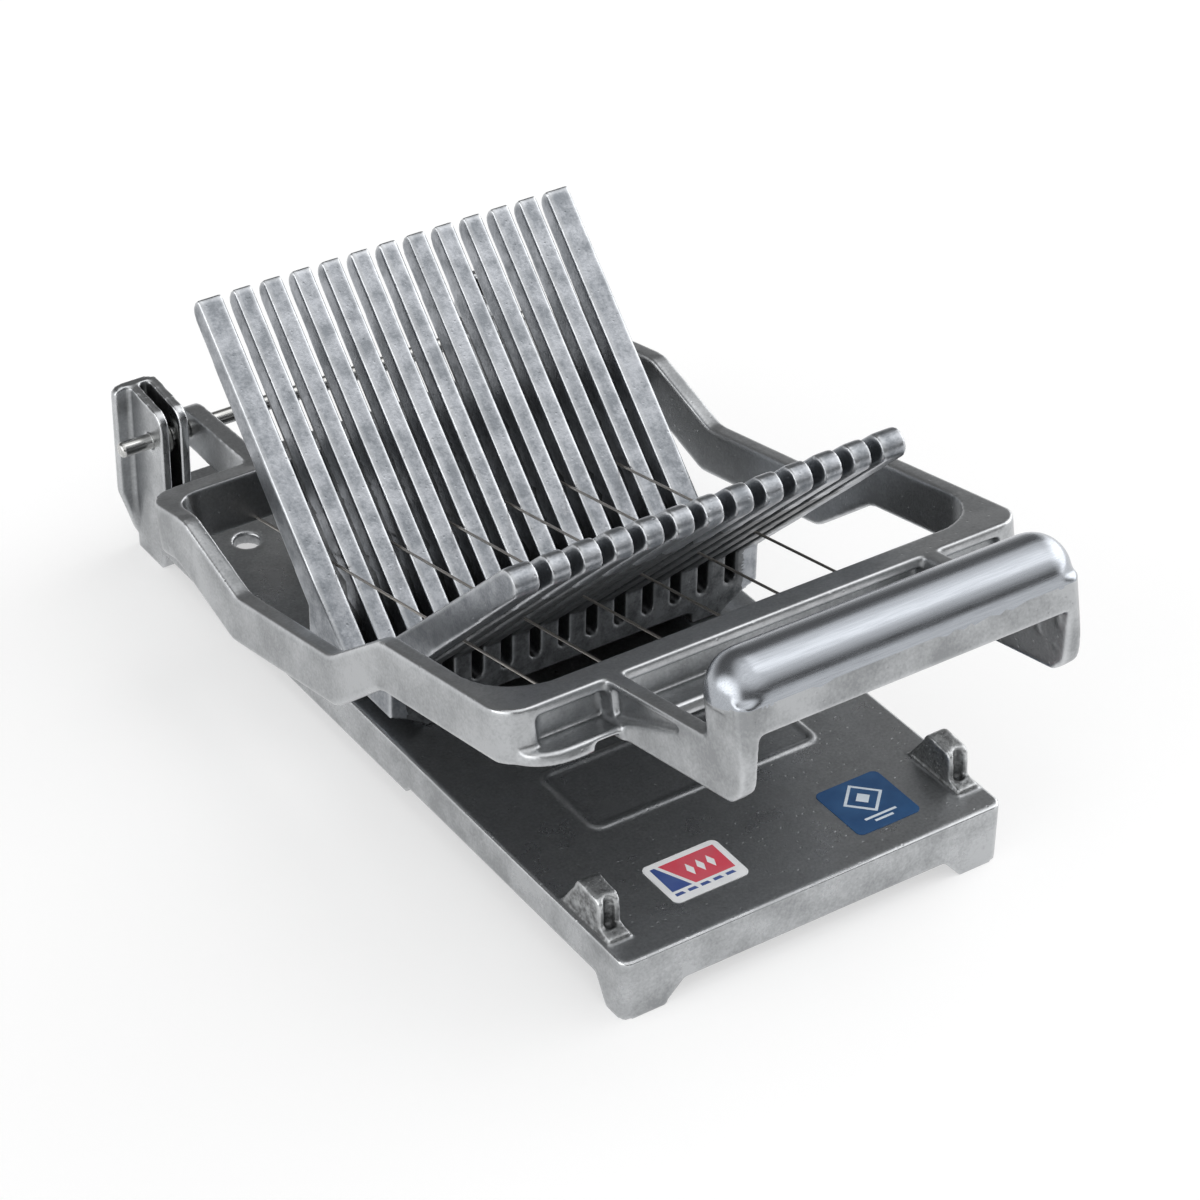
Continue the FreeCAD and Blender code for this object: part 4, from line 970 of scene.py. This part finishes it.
@dataclass
class SteelParts:
    """Hinge rod, retaining clips, screws, wires and their crimped ends."""

    # Stainless steel, drawn: a narrow highlight broken by lines along the rod
    rod: BrightMetal = BrightMetal("rod_drawn_stainless", "cfcfcd", "9c9c9a", 0.2, 0.5,
                                   (0.05, 1.0, 1.0))
    # Stainless steel, drawn to wire: warmer and duller than the rod
    wire: BrightMetal = BrightMetal("wire_drawn_stainless", "c8c3bd", "a29d97", 0.34, 0.4,
                                    (1.0, 0.05, 0.05))
    # Steel, zinc plated: a pale, even and slightly yellow grey
    small: BrightMetal = BrightMetal("screw_zinc_plated_steel", "b9bab6", "8e8f8c", 0.32, 0.6,
                                     (1.0, 1.0, 1.0))

    def finish_for(self, name: str) -> BrightMetal | None:
        """Finish of one steel node.

        Args:
            name: The node's name.

        Returns:
            Its finish, or None where the node isn't steel.
        """
        if name == "hinge_rod":
            return self.rod
        if name.startswith("wire_"):
            return self.small if "ferrule" in name else self.wire
        if name.startswith(("cradle_screw", "rod_clip")):
            return self.small
        return None

    def build(self, nodes: dict[str, bpy.types.Object]) -> None:
        """Dress the CAD nodes.

        Args:
            nodes: The CAD nodes by name.
        """
        made = {finish: finish.material() for finish in (self.rod, self.wire, self.small)}
        for name, node in nodes.items():
            finish = self.finish_for(name)
            if finish is not None:
                dress(node, (made[finish],))
                LOG.info("%s: %s", name, finish.name)


@dataclass
class Labels:
    """Two printed labels on the front of the plate, with plain designs of their own.

    A pair is the value at the near edge and at the far edge, except that diamond_half_mm is
    half a diamond's width and half its depth, and bar_half_mm is half of each bar's width.
    """

    top_mm: float = 19.2
    print_mm: float = 0.03
    margin_mm: float = 1.9
    panel_rise_mm: float = 2.6
    field_start_mm: tuple[float, float] = (7.5, 2.6)
    corner_wide_mm: tuple[float, float] = (6.3, 1.4)
    ticks: int = 5
    tick_rise_mm: tuple[float, float] = (0.5, 1.6)
    tick_wide_mm: tuple[float, float] = (2.9, 2.4)
    diamonds: int = 3
    diamond_start_mm: float = 9.4
    diamond_step_mm: float = 3.3
    diamond_half_mm: tuple[float, float] = (1.1, 2.6)
    emblem_rise_mm: float = 2.2
    emblem_mm: tuple[float, float, float] = (6.6, 5.4, 2.4)
    bar_drop_mm: float = 8.3
    bar_step_mm: float = 1.7
    bar_half_mm: tuple[float, float] = (5.2, 3.0)
    bar_deep_mm: float = 0.8
    # White polyester film under satin laminate: clean, with hardly any greying
    white: PrintedFilm = PrintedFilm("label_white_film", "f2f3f4", "e4e6e8")
    # Red ink under the laminate, faded a little towards pink
    red: PrintedFilm = PrintedFilm("label_red_print", "d9485a", "cf5f6c")
    # Blue ink under the laminate, slightly uneven
    blue: PrintedFilm = PrintedFilm("label_blue_print", "39508f", "4a5f99")
    # Polyester film printed navy all over: a deep, slightly uneven ground
    navy: PrintedFilm = PrintedFilm("label_navy_film", "17426f", "24527f")
    # Pale ink on the navy film, which shows through it a little
    pale: PrintedFilm = PrintedFilm("label_pale_print", "dfe7ee", "c3d0dc")

    def add(self, name: str, outline: Sequence[tuple[float, float]],
            material: bpy.types.Material, slot: PrintSlot, layer: int = 0) -> None:
        """Lay one print on a label.

        Args:
            name: The new piece's name.
            outline: Its corners in mm.
            material: Its finish.
            slot: The record's material slot. Not used.
            layer: How many prints lie below it.
        """
        piece = flat_print(name, outline, self.top_mm + layer * self.print_mm, self.print_mm)
        dress(piece, (material,))
        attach(piece, "base")
        LOG.info("%s: %s", name, material.name)

    def dress_film(self, node: bpy.types.Object, material: bpy.types.Material) -> None:
        """Dress a label's own film, which is a CAD node."""
        dress(node, (material,))
        LOG.info("%s: %s", node.name, material.name)

    def print_left(self, white: bpy.types.Material, red: bpy.types.Material,
                   blue: bpy.types.Material) -> None:
        """Print the left label: a red field, a blue corner, ticks and white diamonds.

        Args:
            white: The film's finish, used again for the diamonds.
            red: The field's finish.
            blue: The finish of the corner and the ticks.
        """
        low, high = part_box("label_left")
        left, right = low[0] / MM + self.margin_mm, high[0] / MM - self.margin_mm
        near, far = low[1] / MM + self.margin_mm, high[1] / MM - self.margin_mm
        panel = near + self.panel_rise_mm
        near_start, far_start = self.field_start_mm
        self.add("label_left_field", (
            (left + near_start, panel), (right, panel), (right, far), (left + far_start, far)),
            red, PrintSlot.RED)
        near_wide, far_wide = self.corner_wide_mm
        self.add("label_left_corner", (
            (left, panel), (left + near_wide, panel), (left + far_wide, far), (left, far)),
            blue, PrintSlot.BLUE)
        tick_low, tick_high = (near + rise for rise in self.tick_rise_mm)
        near_wide, far_wide = self.tick_wide_mm
        for number in range(self.ticks):
            start = left + number * (right - left) / self.ticks
            self.add(f"label_left_tick_{number + 1}", (
                (start, tick_low), (start + near_wide, tick_low),
                (start + far_wide, tick_high), (start, tick_high)), blue, PrintSlot.BLUE)
        half_wide, half_deep = self.diamond_half_mm
        y = (panel + far) / 2
        for number in range(self.diamonds):
            x = left + self.diamond_start_mm + number * self.diamond_step_mm
            self.add(f"label_left_diamond_{number + 1}", (
                (x, y - half_deep), (x + half_wide, y), (x, y + half_deep), (x - half_wide, y)),
                white, PrintSlot.RED, 1)

    def print_right(self, pale: bpy.types.Material, navy: bpy.types.Material) -> None:
        """Print the right label: a square frame on its tip round a small square, and two bars.

        Args:
            pale: The finish of the squares and the bars.
            navy: The film's finish, used again inside the frame.
        """
        low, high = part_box("label_right")
        x = (low[0] + high[0]) / 2 / MM
        y = (low[1] + high[1]) / 2 / MM + self.emblem_rise_mm
        squares = zip(("diamond", "inset", "kernel"), self.emblem_mm, (pale, navy, pale))
        for layer, (name, radius, material) in enumerate(squares):
            self.add(f"label_right_{name}", arc_points((x, y), radius, 0.0, 3 * QUARTER, 3),
                     material, PrintSlot.BLUE, layer)
        for number, half in enumerate(self.bar_half_mm):
            near = y - self.bar_drop_mm - number * self.bar_step_mm
            far = near + self.bar_deep_mm
            self.add(f"label_right_bar_{number + 1}", (
                (x - half, near), (x + half, near), (x + half, far), (x - half, far)),
                pale, PrintSlot.BLUE)

    def build(self, nodes: dict[str, bpy.types.Object]) -> None:
        """Dress both films and lay the prints on them.

        Args:
            nodes: The CAD nodes by name.
        """
        white, navy = self.white.material(), self.navy.material()
        self.dress_film(nodes["label_left"], white)
        self.dress_film(nodes["label_right"], navy)
        self.print_left(white, self.red.material(), self.blue.material())
        self.print_right(self.pale.material(), navy)


@dataclass
class Studio:
    """Pale floor, a soft sky with bright flanks, and one large lamp.

    Each sky is a ramp of height and brightness, from straight down at 0 to straight up at 1.
    """

    floor_half_m: float = 6.0
    paper: StudioPaper = StudioPaper()
    key_watts: float = 16.0
    key_size_m: float = 2.6
    key_place_m: tuple[float, float, float] = (1.5, -0.1, 2.0)
    front_sky: tuple[tuple[float, float], ...] = (
        (0.0, 0.1), (0.26, 0.1), (0.46, 0.68), (0.66, 1.05), (0.86, 1.3), (1.0, 1.3))
    rear_sky: tuple[tuple[float, float], ...] = (
        (0.0, 0.7), (0.2, 0.3), (0.36, 0.14), (0.76, 0.16), (0.93, 0.8), (1.0, 1.3))
    sky_join: float = 0.35
    side_sky: float = 2.6
    side_span: tuple[float, float] = (0.66, 0.95)

    def sky(self) -> None:
        """Make the world: two ramps mixed from front to rear, with bright flanks."""
        world = bpy.data.worlds.new("studio")
        world.use_nodes = True
        tree = world.node_tree
        background = tree.nodes["Background"]
        place = add_node(tree, "ShaderNodeTexCoord").outputs["Generated"]
        parts = add_node(tree, "ShaderNodeSeparateXYZ", links={"Vector": place})
        front, rear = (
            add_node(tree, "ShaderNodeValToRGB", {
                "stops": [(at, (level, level, level, 1.0)) for at, level in stops],
            }, {"Fac": parts.outputs["Z"]}).outputs["Color"]
            for stops in (self.front_sky, self.rear_sky))
        share = add_node(tree, "ShaderNodeMapRange", {
            "interpolation_type": "SMOOTHSTEP",
            "From Min": -self.sky_join, "From Max": self.sky_join, "To Min": 0.0, "To Max": 1.0,
        }, {"Value": parts.outputs["Y"]}).outputs["Result"]
        mixed = add_node(tree, "ShaderNodeMix", {"data_type": "RGBA"}, {
            0: share, MIX_FIRST: front, MIX_SECOND: rear}).outputs[MIX_RESULT]
        aside = add_node(tree, "ShaderNodeMath", {"operation": "ABSOLUTE"},
                         {0: parts.outputs["X"]}).outputs[0]
        start, stop = self.side_span
        flank = add_node(tree, "ShaderNodeMapRange", {
            "interpolation_type": "SMOOTHSTEP",
            "From Min": start, "From Max": stop, "To Min": 0.0, "To Max": 1.0,
        }, {"Value": aside}).outputs["Result"]
        level = self.side_sky
        mixed = add_node(tree, "ShaderNodeMix", {
            "data_type": "RGBA", MIX_SECOND: (level, level, level, 1.0),
        }, {0: flank, MIX_FIRST: mixed}).outputs[MIX_RESULT]
        tree.links.new(mixed, background.inputs["Color"])
        bpy.context.scene.world = world

    def key(self) -> None:
        """Hang the large lamp high on the right, turned to the middle of the tool."""
        lamp = bpy.data.lights.new("key_softbox", "AREA")
        lamp.shape = "SQUARE"
        lamp.size = self.key_size_m
        lamp.energy = self.key_watts
        holder = add_object("key_softbox", lamp)
        place = Vector(self.key_place_m)
        holder.location = place
        holder.rotation_euler = (-place).to_track_quat("-Z", "Y").to_euler()

    def floor(self) -> None:
        """Lay the pale floor."""
        form = bmesh.new()
        half = self.floor_half_m
        corners = [form.verts.new((x * half, y * half, 0.0))
                   for x, y in ((-1, -1), (1, -1), (1, 1), (-1, 1))]
        form.faces.new(corners)
        floor = add_object("floor", stored_mesh(form, "floor"))
        dress(floor, (self.paper.material(),))

    def build(self) -> None:
        """Set up the floor, the sky and the lamp."""
        bpy.context.scene.view_settings.view_transform = "Standard"
        self.sky()
        self.key()
        self.floor()
        LOG.info("studio: key lamp %.1f W", self.key_watts)


@dataclass
class PhotoCamera:
    """The camera that was solved from the photograph, in millimetres and degrees."""

    image_side: float = 1200.0
    focal_pixels: float = 3776.0
    sensor_mm: float = 36.0
    azimuth: float = -34.69
    elevation: float = 35.04
    roll: float = -1.07
    distance: float = 988.83
    slide_right: float = -58.82
    slide_up: float = 72.93
    base_front: float = -114.6
    base_top: float = 19.0
    nearest_m: float = 0.05
    farthest_m: float = 50.0

    def build(self) -> None:
        """Place the camera."""
        azimuth, elevation = math.radians(self.azimuth), math.radians(self.elevation)
        roll = math.radians(self.roll)
        sine, cosine = math.sin(azimuth), math.cos(azimuth)
        back = Vector((sine * math.cos(elevation), -cosine * math.cos(elevation),
                       math.sin(elevation)))
        right = Vector((cosine, sine, 0.0))
        up = back.cross(right)
        place = right * self.slide_right + up * self.slide_up + back * self.distance
        place += Vector((0.0, self.base_front, self.base_top))
        x_axis = right * math.cos(roll) - up * math.sin(roll)
        y_axis = right * math.sin(roll) + up * math.cos(roll)
        turn = Matrix((x_axis, y_axis, back)).transposed()
        data = bpy.data.cameras.new("photo_camera")
        data.sensor_width = self.sensor_mm
        data.lens = self.focal_pixels / self.image_side * self.sensor_mm
        data.clip_start = self.nearest_m
        data.clip_end = self.farthest_m
        camera = add_object("photo_camera", data)
        camera.matrix_world = Matrix.Translation(place * MM) @ turn.to_4x4()
        bpy.context.scene.camera = camera
        LOG.info("camera: %.1f mm lens", data.lens)


def main() -> None:
    """Build the scene."""
    logging.basicConfig(level=logging.INFO)
    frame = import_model()
    nodes = frame["nodes"]
    PhotoCamera().build()
    Studio().build()
    BaseCasting().build(nodes)
    CradleCasting().build(nodes)
    ArmCasting(ArmFrame()).build(nodes)
    SteelParts().build(nodes)
    Labels().build(nodes)


if __name__ == "__main__":
    main()
